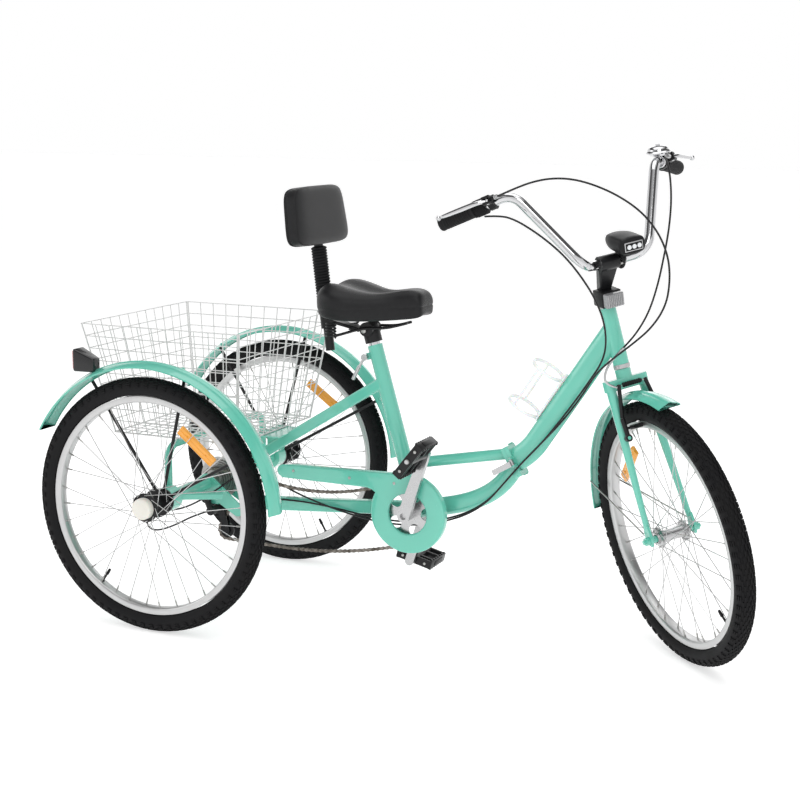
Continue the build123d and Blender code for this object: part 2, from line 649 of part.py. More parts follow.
def pedal(centre, side, tilt):
    """Cage pedal: body block with two windows, turning on the axle."""
    x, z = centre
    inner = side * (abs(CRANK_RIGHT_Y) + CRANK_THICKNESS + 6)
    middle = inner + side * PEDAL_WIDTH / 2
    body = Pos(x, middle, z) * Box(PEDAL_LENGTH, PEDAL_WIDTH, PEDAL_DEPTH)
    body -= Pos(x, middle, z) * Box(PEDAL_LENGTH - 24, PEDAL_WIDTH - 22, PEDAL_DEPTH + 2)
    body += disc(centre, 11, inner, inner + side * PEDAL_WIDTH)
    body -= disc(centre, PEDAL_AXLE_RADIUS + RUNNING, inner - side * 2, inner + side * (PEDAL_WIDTH + 2))
    return body.rotate(Axis((x, 0, z), (0, 1, 0)), tilt)


# ---------------------------------------------------------------- saddle and backrest
SADDLE_TOP_Z = 812.0
SADDLE_BOTTOM_Z = 722.0
SADDLE_NOSE_X = 553.0
SADDLE_REAR_X = 300.0
SADDLE_HALF_WIDTH = 118.0
RAIL_RADIUS = 3.5
POST_TOP_Z = 706.0
BACK_POST_RADIUS = 11.0
BACK_POST_BOTTOM = (292.0, 712.0)
BACK_POST_TOP = (268.0, 900.0)
BACK_SLEEVE_RADIUS = 19.0
BACK_PAD_CENTRE = (262.0, 963.0)
BACK_PAD_SIZE = (44.0, 262.0, 136.0)


def seat_post():
    return rod(on_seat_tube(SEAT_TUBE_TOP[1] - 180), on_seat_tube(POST_TOP_Z), SEAT_POST_RADIUS)


def saddle_clamp():
    """Cast clamp on top of the post, and the arm behind it that holds the backrest post."""
    top = on_seat_tube(POST_TOP_Z - 2)
    low = on_seat_tube(SEAT_TUBE_TOP[1] + 6)
    clamp = rod(low, on_seat_tube(POST_TOP_Z + 4), SEAT_POST_RADIUS + 7, 0)
    clamp += disc((top[0], top[2] - 2), 17, -26, 26)
    clamp -= rod(on_seat_tube(SEAT_TUBE_TOP[1] - 60), on_seat_tube(POST_TOP_Z), SEAT_POST_RADIUS + RUNNING)
    x, z = BACK_POST_BOTTOM
    clamp += flat_bar((top[0] - 18, 0, top[2] - 6), (x + 8, 0, z + 4), 8, 32)
    socket = rod(back_point(-16), back_point(16), BACK_POST_RADIUS + 5)
    clamp += socket
    clamp -= rod(back_point(-24), back_point(24), BACK_POST_RADIUS + SLIDE)
    return clamp


def back_point(along):
    """Point on the backrest post's axis, a distance up from its socket."""
    low = Vector(BACK_POST_BOTTOM[0], 0, BACK_POST_BOTTOM[1])
    high = Vector(BACK_POST_TOP[0], 0, BACK_POST_TOP[1])
    return (low + (high - low).normalized() * along)


def saddle_springs():
    """Two wire rails under the saddle with a coil at each rear corner."""
    pieces = []
    for side in (1, -1):
        y = side * 31.0
        rail = bent_rod(
            [(500, side * 12, 722), (452, side * 28, 708), (400, y, 706), (352, side * 44, 690),
             (338, side * 60, 686)],
            [20, 30, 30], RAIL_RADIUS)
        coil = disc_up((333, side * 62), 13, 681, SADDLE_BOTTOM_Z - CLEAR, 8.5)
        pieces += [rail + coil]
    return solids(*pieces)


def disc_up(centre, radius, z_from, z_to, bore=0.0):
    """Round barrel about a vertical line."""
    x, y = centre
    return rod((x, y, z_from), (x, y, z_to), radius, bore)


def saddle_outline():
    """Plan of the saddle: a broad rear and a rounded nose."""
    rear, nose, half = SADDLE_REAR_X, SADDLE_NOSE_X, SADDLE_HALF_WIDTH
    return make_face(
        Spline((nose, 0), (nose - 22, 27), (nose - 90, 42), (nose - 150, 88), (rear + 52, half),
               (rear + 12, half - 28), (rear, 44), (rear + 12, 0), (rear, -44), (rear + 12, -half + 28),
               (rear + 52, -half), (nose - 150, -88), (nose - 90, -42), (nose - 22, -27), periodic=True))


def saddle():
    outline = saddle_outline()
    base = Pos(0, 0, SADDLE_BOTTOM_Z) * outline
    block = extrude(base, SADDLE_TOP_Z - SADDLE_BOTTOM_Z)
    profile = make_face(Plane.XZ * Polyline(
        (SADDLE_REAR_X - 20, 756), (SADDLE_REAR_X + 60, SADDLE_TOP_Z), (SADDLE_REAR_X + 120, SADDLE_TOP_Z),
        (SADDLE_NOSE_X - 60, 788), (SADDLE_NOSE_X + 20, 770), (SADDLE_NOSE_X + 20, 736),
        (SADDLE_NOSE_X - 90, SADDLE_BOTTOM_Z), (SADDLE_REAR_X + 40, SADDLE_BOTTOM_Z),
        (SADDLE_REAR_X - 20, 740), close=True))
    return block & extrude(profile, SADDLE_HALF_WIDTH + 20, both=True)


def backrest_post():
    return rod(back_point(-70), back_point(205), BACK_POST_RADIUS)


def backrest_sleeve():
    """Ribbed rubber sleeve round the post, from the socket to the pad."""
    bottom, top = 18.0, 178.0
    sleeve = rod(back_point(bottom), back_point(top), BACK_SLEEVE_RADIUS - 2.5)
    ribs = 13
    for i in range(ribs):
        middle = bottom + (top - bottom) * (i + 0.5) / ribs
        sleeve += rod(back_point(middle - 3.4), back_point(middle + 3.4), BACK_SLEEVE_RADIUS)
    return sleeve - rod(back_point(0), back_point(200), BACK_POST_RADIUS + CLEAR)


def backrest_pad():
    depth, width, height = BACK_PAD_SIZE
    pad = Box(depth, width, height)
    pad = fillet(pad.edges().filter_by(Axis.X), 34)
    pad = fillet(pad.edges().group_by(Axis.X)[-1], 14)
    x, z = BACK_PAD_CENTRE
    pad = pad.rotate(Axis.Y, -8).moved(Pos(x, 0, z))
    return pad - rod(back_point(140), back_point(206), BACK_POST_RADIUS + CLEAR)


def seat_clamp_lever():
    """Quick-release bolt through the ears with its bent lever on the right."""
    x, _, z = on_seat_tube(SEAT_TUBE_TOP[1] - CLAMP_DROP, CLAMP_BOLT_BACK)
    lever = disc((x, z), CLAMP_BOLT_RADIUS, -16, 14)
    lever += disc((x, z), 6, 9 + CLEAR, 15)
    lever += disc((x, z), 8, -20, -9 - CLEAR)
    lever += rod((x, -16, z), (x - 14, -20, z - 26), 3.2)
    lever += rod((x - 12, -20, z - 22), (x - 28, -20, z - 54), 4.5)
    return lever


# ---------------------------------------------------------------- fenders, light and basket
def fender(radius, start, end, width):
    """Curved strip with a raised middle, about the Y axis; angles from straight up, forward positive."""
    half = width / 2
    section = make_face(Wire([
        ThreePointArc((radius - FENDER_CROWN, -half), (radius, 0), (radius - FENDER_CROWN, half)),
        Line((radius - FENDER_CROWN, half), (radius - FENDER_CROWN - FENDER_THICKNESS, half)),
        ThreePointArc((radius - FENDER_CROWN - FENDER_THICKNESS, half), (radius - FENDER_THICKNESS, 0),
                      (radius - FENDER_CROWN - FENDER_THICKNESS, -half)),
        Line((radius - FENDER_CROWN - FENDER_THICKNESS, -half), (radius - FENDER_CROWN, -half)),
    ]))
    strip = revolve(section, Axis.Y, end - start)
    # The section starts on +X; turn it so that the strip begins at the start angle from the top.
    return strip.rotate(Axis.Y, start - 90)


REAR_FENDER_FROM = -61.0
REAR_FENDER_TO = 87.0


def rear_fender(side):
    strip = fender(REAR_FENDER_RADIUS, REAR_FENDER_FROM, REAR_FENDER_TO, FENDER_WIDTH)
    return strip.moved(Pos(0, side * TRACK / 2, WHEEL_RADIUS))


def on_wheel(radius, angle, y):
    """Point about the rear axle at an angle forward of straight up."""
    return (radius * sin(radians(angle)), y, WHEEL_RADIUS + radius * cos(radians(angle)))


def rear_fender_stays():
    """Bracket on each bearing housing with three tapered arms to the fender's inner edge."""
    pieces = []
    for side in (1, -1):
        y_in = side * (HOUSING_OUTER_Y + CLEAR)
        hub = disc((0, WHEEL_RADIUS), HOUSING_RADIUS, y_in, y_in + side * 5, AXLE_RADIUS + 2)
        inner_edge = side * (TRACK / 2 - FENDER_WIDTH / 2 - 4)
        reach = REAR_FENDER_RADIUS - FENDER_CROWN - 2
        for angle in (-33, 14, 60):
            start = on_wheel(HOUSING_RADIUS - 6, angle, y_in + side * 5)
            hub += rod(start, on_wheel(reach, angle, inner_edge), 4.0)
        pieces.append(hub)
    return solids(*pieces)


def tail_light():
    """Housing that stands on the right fender and faces backwards."""
    y = -TRACK / 2
    base = on_wheel(REAR_FENDER_RADIUS + 8, -27, y)
    body = Box(44, 34, 42) + Pos(-24, 0, 0) * Box(8, 44, 54)
    body = body.rotate(Axis.Y, 4).moved(Pos(base[0] - 6, y, base[2] + 21.2))
    return body - (Pos(0, y, WHEEL_RADIUS) * rotated_barrel(REAR_FENDER_RADIUS + CLEAR, 80))


def rotated_barrel(radius, width):
    return Rot(90, 0, 0) * Cylinder(radius, width)


BASKET_FLOOR = (-192.0, 150.0, 188.0)   # rear X, front X, half width at the floor
BASKET_RIM = (-246.0, 186.0, 240.0)     # the same at the rim
BASKET_GAP = 5.0


def grid_panel(bottom_width, top_width, height):
    """Flat welded-wire panel, wider at the top, lying on its own XY plane from Y 0 up."""
    half_low, half_high = bottom_width / 2, top_width / 2
    face = make_face(Polyline((-half_low, 0), (half_low, 0), (half_high, height), (-half_high, height), close=True))
    rows = round(height / BASKET_PITCH)
    columns = round(bottom_width / BASKET_PITCH)
    wire = BASKET_WIRE / 2
    holes = []
    for row in range(rows):
        low, high = height * row / rows + wire, height * (row + 1) / rows - wire
        for column in range(columns):
            corners = []
            for level, reverse in ((low, False), (high, True)):
                half = half_low + (half_high - half_low) * level / height
                left = -half + 2 * half * column / columns + wire
                right = -half + 2 * half * (column + 1) / columns - wire
                corners += [(right, level), (left, level)] if reverse else [(left, level), (right, level)]
            holes.append(make_face(Polyline(*corners, close=True)))
    return extrude(face - holes, BASKET_WIRE)


def basket():
    """Four leaning wire panels round a wire floor."""
    rear_low, front_low, half_low = BASKET_FLOOR
    rear_high, front_high, half_high = BASKET_RIM
    rise = BASKET_RIM_Z - BASKET_FLOOR_Z
    floor = grid_panel(2 * half_low, 2 * half_low, front_low - rear_low)
    floor = floor.moved(Pos(rear_low, 0, BASKET_FLOOR_Z - BASKET_WIRE / 2) * Rot(0, 0, -90))
    pieces = [floor]
    for end_low, end_high in ((rear_low, rear_high), (front_low, front_high)):
        lean = Vector(end_high - end_low, 0, rise)
        out = 1 if end_high > end_low else -1
        panel = grid_panel(2 * half_low, 2 * half_high - 2 * BASKET_GAP, lean.length)
        plane = Plane(origin=(end_low + out * CLEAR, 0, BASKET_FLOOR_Z - BASKET_WIRE / 2), x_dir=(0, out, 0),
                      z_dir=Vector(0, out, 0).cross(lean))
        pieces.append(plane * panel)
    length_low, length_high = front_low - rear_low, front_high - rear_high
    shift = (front_high + rear_high - front_low - rear_low) / 2
    for side in (1, -1):
        lean = Vector(shift, side * (half_high - half_low), rise)
        flat_lean = Vector(0, side * (half_high - half_low), rise)
        panel = grid_panel(length_low, length_high - 2 * BASKET_GAP, flat_lean.length)
        middle = (front_low + rear_low) / 2
        plane = Plane(origin=(middle, side * (half_low + CLEAR), BASKET_FLOOR_Z - BASKET_WIRE / 2),
                      x_dir=(-side, 0, 0), z_dir=Vector(-side, 0, 0).cross(flat_lean))
        pieces.append(plane * panel)
    return solids(*pieces)


# ---------------------------------------------------------------- front frame
HEAD_BORE = STEERER_RADIUS + 1.5
FRONT_FACE = HINGE + HINGE_FORWARD * (CLEAR / 2)
LATCH_SIDE_Y = -(HINGE_WIDTH / 2 + 7.0)
LATCH_PIN_RADIUS = 2.5
BOTTLE_RADIUS = 37.0


def head_end(up):
    """Point on the steering axis, up from the bottom of the head tube."""
    return on_axis(HEAD_TUBE_BOTTOM_Z + up * AXIS_UP.Z)


def front_frame():
    start = FRONT_FACE + HINGE_FORWARD * (HINGE_PLATE - 1)
    end = Vector(*head_end(72))
    path = FilletPolyline(start, (start.X + 34, 0, start.Z + 26), end, radius=150)
    plane = Plane(origin=path @ 0, x_dir=(0, 1, 0), z_dir=path % 0)
    frame = sweep(plane * Ellipse(MAIN_TUBE_WIDTH / 2, MAIN_TUBE_DEPTH / 2), path=path)
    frame -= past_hinge(1)
    frame += rod(head_end(0), head_end(HEAD_TUBE_LENGTH), HEAD_TUBE_RADIUS)
    frame -= rod(head_end(-20), head_end(HEAD_TUBE_LENGTH + 20), HEAD_BORE)
    face = hinge_plane(CLEAR / 2) * RectangleRounded(HINGE_WIDTH, HINGE_LENGTH, 6)
    half = extrude(face, HINGE_PLATE, dir=HINGE_FORWARD)
    half += knuckle(-HINGE_LENGTH / 6 + CLEAR, HINGE_LENGTH / 6 - CLEAR)
    half += latch_ear(1) + latch_ear(-1)
    frame += half
    frame -= rear_knuckle_room()
    return frame - pin_bore()


def latch_point(height, out=0.0):
    point = FRONT_FACE + HINGE_FORWARD * (HINGE_PLATE / 2) + HINGE_UP * height
    return (point.X, LATCH_SIDE_Y - out, point.Z)


def latch_ear(side):
    """Ear on the right of the front plate, above or below the lever."""
    inner, outer = side * (7 + CLEAR), side * 11.0
    ear = rod(latch_point(inner), latch_point(outer), 5)
    middle = (Vector(*latch_point(inner, -9)) + Vector(*latch_point(outer, -9))) * 0.5
    block = Plane(origin=middle, x_dir=(0, 1, 0), z_dir=HINGE_UP) * Box(18, 9, abs(outer - inner))
    return (ear + block) - rod(latch_point(-20), latch_point(20), LATCH_PIN_RADIUS + RUNNING)


def hinge_pin():
    end = HINGE_LENGTH / 2 + 3
    pin = rod(pin_point(-end), pin_point(end), HINGE_PIN_RADIUS)
    for low, high in ((-end, -HINGE_LENGTH / 2 - CLEAR), (HINGE_LENGTH / 2 + CLEAR, end)):
        pin += rod(pin_point(low), pin_point(high), HINGE_PIN_RADIUS + 2.5)
    return pin


def fold_lever():
    """Cam lever on the right that clamps the two hinge plates together."""
    eye = rod(latch_point(-7), latch_point(7), 5) + rod(latch_point(-12), latch_point(12), LATCH_PIN_RADIUS)
    pivot = Vector(*latch_point(0))
    tail = pivot - HINGE_FORWARD * 50 - HINGE_UP * 4
    blade = Plane(origin=(pivot + tail) * 0.5 + Vector(0, -8.5, 0), x_dir=HINGE_FORWARD, z_dir=(0, -1, 0))
    return eye + blade * Box(50, 13, 6)


def headset_cups():
    """Bearing cups pressed against both ends of the head tube."""
    bore = STEERER_RADIUS + RUNNING
    lower = rod(head_end(-9), head_end(-0.1), HEAD_TUBE_RADIUS + 1, bore)
    upper = rod(head_end(HEAD_TUBE_LENGTH + 0.1), head_end(HEAD_TUBE_LENGTH + 12), HEAD_TUBE_RADIUS + 1, bore)
    return solids(lower, upper)


def bottle_cage():
    """Cage of plastic bars on the upper side of the main tube."""
    foot = Vector(844.2, 0, 547.2)
    up = (Vector(975, 0, 760) - Vector(870, 0, 595)).normalized()
    out = Vector(-up.Z, 0, up.X)
    centre = foot + out * (BOTTLE_RADIUS + 6)
    back = Plane(origin=foot + out * 2.5 + up * 30, x_dir=(0, 1, 0), z_dir=up) * Box(16, 5, 130)
    cage = back
    for along in (-30, 74):
        ring_plane = Plane(origin=centre + up * along, x_dir=(0, 1, 0), z_dir=up)
        ring = extrude(ring_plane * (Circle(BOTTLE_RADIUS + 4) - Circle(BOTTLE_RADIUS)), 8)
        cage += ring
    for side in (1, -1):
        a = centre + up * -30 + out * 14 + Vector(0, side * (BOTTLE_RADIUS - 2), 0)
        cage += rod((a + up * 2), (a + up * 108), 3)
    return cage


# ---------------------------------------------------------------- fork group, straight ahead
CROWN_Z = 622.0
LEG_TOP_HALF = 41.0
LEG_FOOT_HALF = 55.0
FRONT_AXLE_END = 66.0
BOSS_FROM_AXLE = 229.0
CLAMP_X = 1005.0
CLAMP_Z = 893.0
QUILL_TOP_Z = 822.0
PAD_RADIUS_FROM_AXLE = 250.0


def leg_point(from_axle, side, ahead=0.0):
    """Point on a fork leg's middle line at a distance from the front axle."""
    foot = Vector(WHEELBASE, side * LEG_FOOT_HALF, WHEEL_RADIUS)
    top = Vector(on_axis(CROWN_Z)[0] + 6, side * LEG_TOP_HALF, CROWN_Z - 8)
    along = (top - foot).normalized()
    forward = Vector(along.Z, 0, -along.X)
    return foot + along * from_axle + forward * ahead


def fork_leg(side):
    foot, top = leg_point(0, side), leg_point(345, side)
    top_plane = Plane(origin=top, x_dir=(0, 1, 0), z_dir=foot - top)
    foot_plane = Plane(origin=foot + (top - foot).normalized() * 26, x_dir=(0, 1, 0), z_dir=foot - top)
    leg = loft([top_plane * Ellipse(10.5, 14.5), foot_plane * Ellipse(6, 8)])
    y_in = side * (LEG_FOOT_HALF - 3)
    tip = plate([(foot.X - 13, foot.Z - 9), (foot.X + 10, foot.Z - 11), (foot.X + 11, foot.Z + 8),
                 (foot.X - 4, foot.Z + 34), (foot.X - 20, foot.Z + 30)], y_in, y_in + side * 6)
    tip -= disc((foot.X, foot.Z), FRONT_AXLE_RADIUS + RUNNING, y_in - side * 3, y_in + side * 9)
    boss = leg_point(BOSS_FROM_AXLE, side)
    stud = rod(boss, leg_point(BOSS_FROM_AXLE, side, 30), 4.0)
    return leg + tip + stud


def fork():
    steerer = rod(on_axis(CROWN_Z - 10), on_axis(HEAD_TUBE_BOTTOM_Z + (HEAD_TUBE_LENGTH + 22) * AXIS_UP.Z),
                  STEERER_RADIUS)
    centre = Vector(*on_axis(CROWN_Z))
    crown_plane = Plane(origin=centre, x_dir=(0, 1, 0), z_dir=AXIS_UP)
    crown = extrude(crown_plane * RectangleRounded(2 * LEG_TOP_HALF + 24, 34, 14), 12, both=True)
    seat = rod(on_axis(CROWN_Z), on_axis(HEAD_TUBE_BOTTOM_Z - 10), HEAD_TUBE_RADIUS)
    body = steerer + crown + seat + fork_leg(1) + fork_leg(-1)
    body -= rod(on_axis(CROWN_Z - 60), on_axis(QUILL_TOP_Z + 60), QUILL_RADIUS + RUNNING)
    axle = disc((WHEELBASE, WHEEL_RADIUS), FRONT_AXLE_RADIUS, -FRONT_AXLE_END - 6, FRONT_AXLE_END + 6)
    for side in (1, -1):
        outer = side * (LEG_FOOT_HALF + 3 + 0.1)
        axle += disc((WHEELBASE, WHEEL_RADIUS), 9, outer, outer + side * 9)
        inner = side * (FRONT_FLANGE_SPACING / 2 + 8 + CLEAR)
        axle += disc((WHEELBASE, WHEEL_RADIUS), 8, inner, side * (LEG_FOOT_HALF - 3 - 0.1))
    return solids(body, axle)


FRONT_FENDER_FROM = -97.0
FRONT_FENDER_TO = 8.0
FENDER_STAY_ANGLE = -84.0


def front_fender():
    """Curved strip under the crown with a wire stay on each side to the fork ends."""
    strip = fender(FRONT_FENDER_RADIUS, FRONT_FENDER_FROM, FRONT_FENDER_TO, FENDER_WIDTH - 6)
    strip = strip.moved(Pos(WHEELBASE, 0, WHEEL_RADIUS))
    rim_height = FRONT_FENDER_RADIUS - FENDER_CROWN - 1
    at = radians(FENDER_STAY_ANGLE)
    top = (WHEELBASE + rim_height * sin(at), WHEEL_RADIUS + rim_height * cos(at))
    for side in (1, -1):
        y_top = side * (FENDER_WIDTH / 2 - 3.4)
        foot = leg_point(0, side)
        strip += rod((top[0], y_top, top[1]), (foot.X - 16.4, side * (LEG_FOOT_HALF + 5.6), foot.Z + 12), 1.8)
    return strip


def stem():
    """Quill in the steerer and a forged head that widens up to the bar clamp."""
    low, high = Vector(*on_axis(QUILL_TOP_Z)), Vector(CLAMP_X, 0, CLAMP_Z)
    quill = rod(on_axis(700), on_axis(QUILL_TOP_Z + 2), QUILL_RADIUS)
    lean = high - low
    head = loft([Plane(origin=low, x_dir=(0, 1, 0), z_dir=lean) * RectangleRounded(24, 24, 5),
                 Plane(origin=high - lean.normalized() * 14, x_dir=(0, 1, 0), z_dir=lean)
                 * RectangleRounded(46, 20, 5)])
    clamp = disc((CLAMP_X, CLAMP_Z), BAR_RADIUS + 6, -22, 22)
    return quill + head + clamp - handlebar_room(1) - handlebar_room(-1)


BAR_LEVEL_HALF = 36.0       # where the level middle turns up
BAR_END = (827.0, 298.0, 1018.0)
BAR_TOP = (943.0, 175.0, 1074.0)
BAR_BASE = (1048.0, 78.0, 908.0)


def handlebar():
    """High-rise bar: level in the clamp, up and back in the risers, then out and down to the grips."""
    left = [(CLAMP_X, BAR_LEVEL_HALF, CLAMP_Z), BAR_BASE, BAR_TOP, BAR_END]
    right = [(x, -y, z) for x, y, z in left]
    points = list(reversed(right)) + left
    return bent_rod(points, [42, 40, 30, 30, 40, 42], BAR_RADIUS)


def bar_point(from_end, side):
    """Point on a grip's axis, in from the bar's end; and the direction towards the end."""
    end, top = Vector(*BAR_END), Vector(*BAR_TOP)
    along = (end - top).normalized()
    point = end - along * from_end
    return Vector(point.X, side * point.Y, point.Z), Vector(along.X, side * along.Y, along.Z)


def on_bar(start, end, radius, side, bore=BAR_RADIUS + RUNNING):
    """Sleeve on the straight end of the bar, between two distances from its end."""
    a, _ = bar_point(end, side)
    b, _ = bar_point(start, side)
    return rod(a, b, radius, bore)


SHIFTER_LENGTH = 34.0


def grips():
    pieces = []
    for side, length in ((1, GRIP_LENGTH), (-1, GRIP_LENGTH - SHIFTER_LENGTH)):
        grip = on_bar(-0.2, length, GRIP_RADIUS, side)
        cap = on_bar(-4.0, -0.2, GRIP_RADIUS, side, 0)
        pieces.append(grip + cap)
    return solids(*pieces)


def twist_shifter():
    """Twist ring beside the right grip."""
    start = GRIP_LENGTH - SHIFTER_LENGTH + CLEAR
    return on_bar(start, start + SHIFTER_LENGTH - 8, GRIP_RADIUS + 3, -1)


LEVER_PIVOT_FORWARD = 26.0
LEVER_LENGTH = 112.0
LEVER_PIN_RADIUS = 2.5
LEVER_BARREL_REACH = 26.0


def lever_frame(side):
    """Pivot of a brake lever, the blade's direction and the pivot's axis."""
    clamp, outward = bar_point(GRIP_LENGTH + 10, side)
    forward = Vector(0.86, 0, 0.5)
    forward = (forward - outward * forward.dot(outward)).normalized()
    pivot = clamp + forward * LEVER_PIVOT_FORWARD
    axis = forward.cross(outward).normalized()
    return clamp, pivot, outward, forward, axis


def barrel_end(side):
    """Where the cable housing enters the lever's adjusting barrel."""
    _, pivot, outward, _, _ = lever_frame(side)
    return tuple(pivot - outward * (LEVER_BARREL_REACH + CLEAR))


def brake_lever_mounts():
    """Clamp ring and hooded body at each side, bored for the lever's pin."""
    pieces = []
    for side in (1, -1):
        clamp, pivot, outward, forward, axis = lever_frame(side)
        ring = on_bar(GRIP_LENGTH + 3, GRIP_LENGTH + 17, BAR_RADIUS + 5, side)
        body_plane = Plane(origin=clamp + forward * (LEVER_PIVOT_FORWARD / 2 + 8), x_dir=outward, z_dir=axis)
        body = body_plane * Box(15, 16, 14)
        cheeks = Plane(origin=pivot, x_dir=outward, z_dir=axis) * Box(18, 16, 18)
        slot = Plane(origin=pivot + outward * 5.5, x_dir=outward, z_dir=axis) * Box(25, 18, 9)
        barrel = rod(pivot - outward * 8, pivot - outward * LEVER_BARREL_REACH, 4.5)
        piece = ring + (body + cheeks - slot) + barrel
        piece -= on_bar(GRIP_LENGTH - 10, GRIP_LENGTH + 30, BAR_RADIUS + RUNNING, side, 0)
        piece -= rod((pivot - axis * 20), (pivot + axis * 20), LEVER_PIN_RADIUS + RUNNING)
        pieces.append(piece)
    return solids(*pieces)


def brake_lever(side):
    """Blade with its pivot eye and pin, angled away from the grip."""
    _, pivot, outward, forward, axis = lever_frame(side)
    eye = rod((pivot - axis * 4), (pivot + axis * 4), 6)
    pin = rod((pivot - axis * 9), (pivot + axis * 9), LEVER_PIN_RADIUS)
    elbow = pivot + outward * 24 + forward * 12
    tip = elbow + outward * (LEVER_LENGTH - 24) + forward * 6
    first = rod(pivot, elbow, 3.5)
    blade = Plane(origin=(elbow + tip) * 0.5, x_dir=tip - elbow, z_dir=axis) * Box((tip - elbow).length + 4, 5, 10)
    return eye + pin + first + blade


def bell():
    """Dome on a strap clamped to the left of the bar."""
    up = Vector(0, 0, 1)
    strap = on_bar(GRIP_LENGTH + 20, GRIP_LENGTH + 29, BAR_RADIUS + 2.5, 1)
    middle, _ = bar_point(GRIP_LENGTH + 24.5, 1)
    post = rod((middle + up * BAR_RADIUS), (middle + up * 23), 5)
    base = middle + up * 22
    dome = rod(base, (base + up * 16), 27)
    dome = fillet(dome.faces().sort_by(Axis.Z)[-1].edges(), 13)
    bored = on_bar(GRIP_LENGTH, GRIP_LENGTH + 60, BAR_RADIUS + RUNNING, 1, 0)
    return strap + post + dome - bored


def bell_base():
    middle, _ = bar_point(GRIP_LENGTH + 24.5, 1)
    return middle + Vector(0, 0, 1) * 22


def bell_lever():
    """Thumb lever under the dome that turns about the dome's own post."""
    base = bell_base()
    ring = rod((base - Vector(0, 0, 5.5)), (base - Vector(0, 0, CLEAR)), 9, 5 + RUNNING)
    arm = Pos(base.X - 22, base.Y + 12, base.Z - 3.4) * Rot(0, 0, -28) * Box(34, 9, 3)
    return ring + (arm - rod((base - Vector(0, 0, 8)), base, 8))


def headlight():
    """Lamp on its own strap beside the stem, on the left of the bar's level middle."""
    x, z = CLAMP_X, CLAMP_Z
    body = Pos(x + 26, 30, z + 42) * Box(78, 54, 32)
    body = fillet(body.edges().filter_by(Axis.Y), 12)
    foot = Pos(x + 14, 34, z + 22) * Box(26, 20, 16)
    strap = disc((x + 4, z), BAR_RADIUS + 12, 25, 36)
    return body + foot + strap - handlebar_room(1)


def handlebar_room(side):
    """The bar's path on one side of the stem, a little larger than the bar."""
    bends = [(x, side * y, z) for x, y, z in (BAR_BASE, BAR_TOP)]
    start = [(CLAMP_X, -side * BAR_LEVEL_HALF, CLAMP_Z), (CLAMP_X, side * BAR_LEVEL_HALF, CLAMP_Z)]
    return bent_rod(start + bends, [30, 40], BAR_RADIUS + CLEAR)


def front_reflector():
    """Clear reflector on a bracket that is clamped under the headset nut."""
    middle = on_axis(800, HEAD_TUBE_RADIUS + 22)
    tile_plane = Plane(origin=middle, x_dir=(0, 1, 0), z_dir=AXIS_FORWARD)
    tile = tile_plane * Box(48, 34, 6)
    ring = rod(head_end(HEAD_TUBE_LENGTH + 12.4), head_end(HEAD_TUBE_LENGTH + 15), HEAD_TUBE_RADIUS - 1,
               STEERER_RADIUS + RUNNING)
    a = Vector(*head_end(HEAD_TUBE_LENGTH + 13.7)) + AXIS_FORWARD * 14
    b = Vector(*head_end(HEAD_TUBE_LENGTH + 13.7)) + AXIS_FORWARD * (HEAD_TUBE_RADIUS + 20)
    arm = Plane(origin=(a + b) * 0.5, x_dir=(0, 1, 0), z_dir=AXIS_FORWARD) * Box(12, 2.4, (b - a).length)
    return tile + ring + arm


BRAKE_ARM_LENGTH = 118.0


def arm_top(side):
    return leg_point(BOSS_FROM_AXLE + BRAKE_ARM_LENGTH, side, 28) - Vector(0, side * 8, 0)


def v_brake_arm(side):
    """Brake arm on the fork boss, reaching up past the rim with its pad."""
    boss = leg_point(BOSS_FROM_AXLE, side, 25)
    top = arm_top(side)
    ahead = (leg_point(BOSS_FROM_AXLE, side, 1) - leg_point(BOSS_FROM_AXLE, side)).normalized()
    arm = rod((boss - ahead * 5), (boss + ahead * 5), 8)
    middle = leg_point(BOSS_FROM_AXLE + 45, side, 26) + Vector(0, side * 3, 0)
    arm += rod(boss, middle, 5.5)
    arm += rod(middle, top, 4.5)
    pad_height = PAD_RADIUS_FROM_AXLE - BOSS_FROM_AXLE
    post = leg_point(BOSS_FROM_AXLE + pad_height, side, 26)
    pad_y = side * (RIM_WIDTH / 2 + 2.0)
    pad_centre = Vector(post.X, pad_y + side * 4, post.Z)
    arm += rod(post, pad_centre, 3)
    along = Vector(ahead.X, 0, ahead.Z)
    arm += Plane(origin=pad_centre, x_dir=along, z_dir=(0, 1, 0)) * Box(48, 10, 8)
    return arm - rod((boss - ahead * 40), (boss + ahead * 40), 4.0 + RUNNING)


# ---------------------------------------------------------------- cables
# Straight ahead, from the left lever down to the noodle over the right brake arm.
FRONT_BRAKE_ROUTE = [
    (972, 184, 1088), (1010, 166, 1086), (1040, 154, 1052), (1054, 142, 1000), (1060, 126, 944),
    (1062, 106, 888), (1065, 84, 834), (1066, 56, 780), (1060, 24, 738), (1052, -8, 710),
    (1048, -38, 688), (1050, -60, 664), (1056, -64, 640),
]
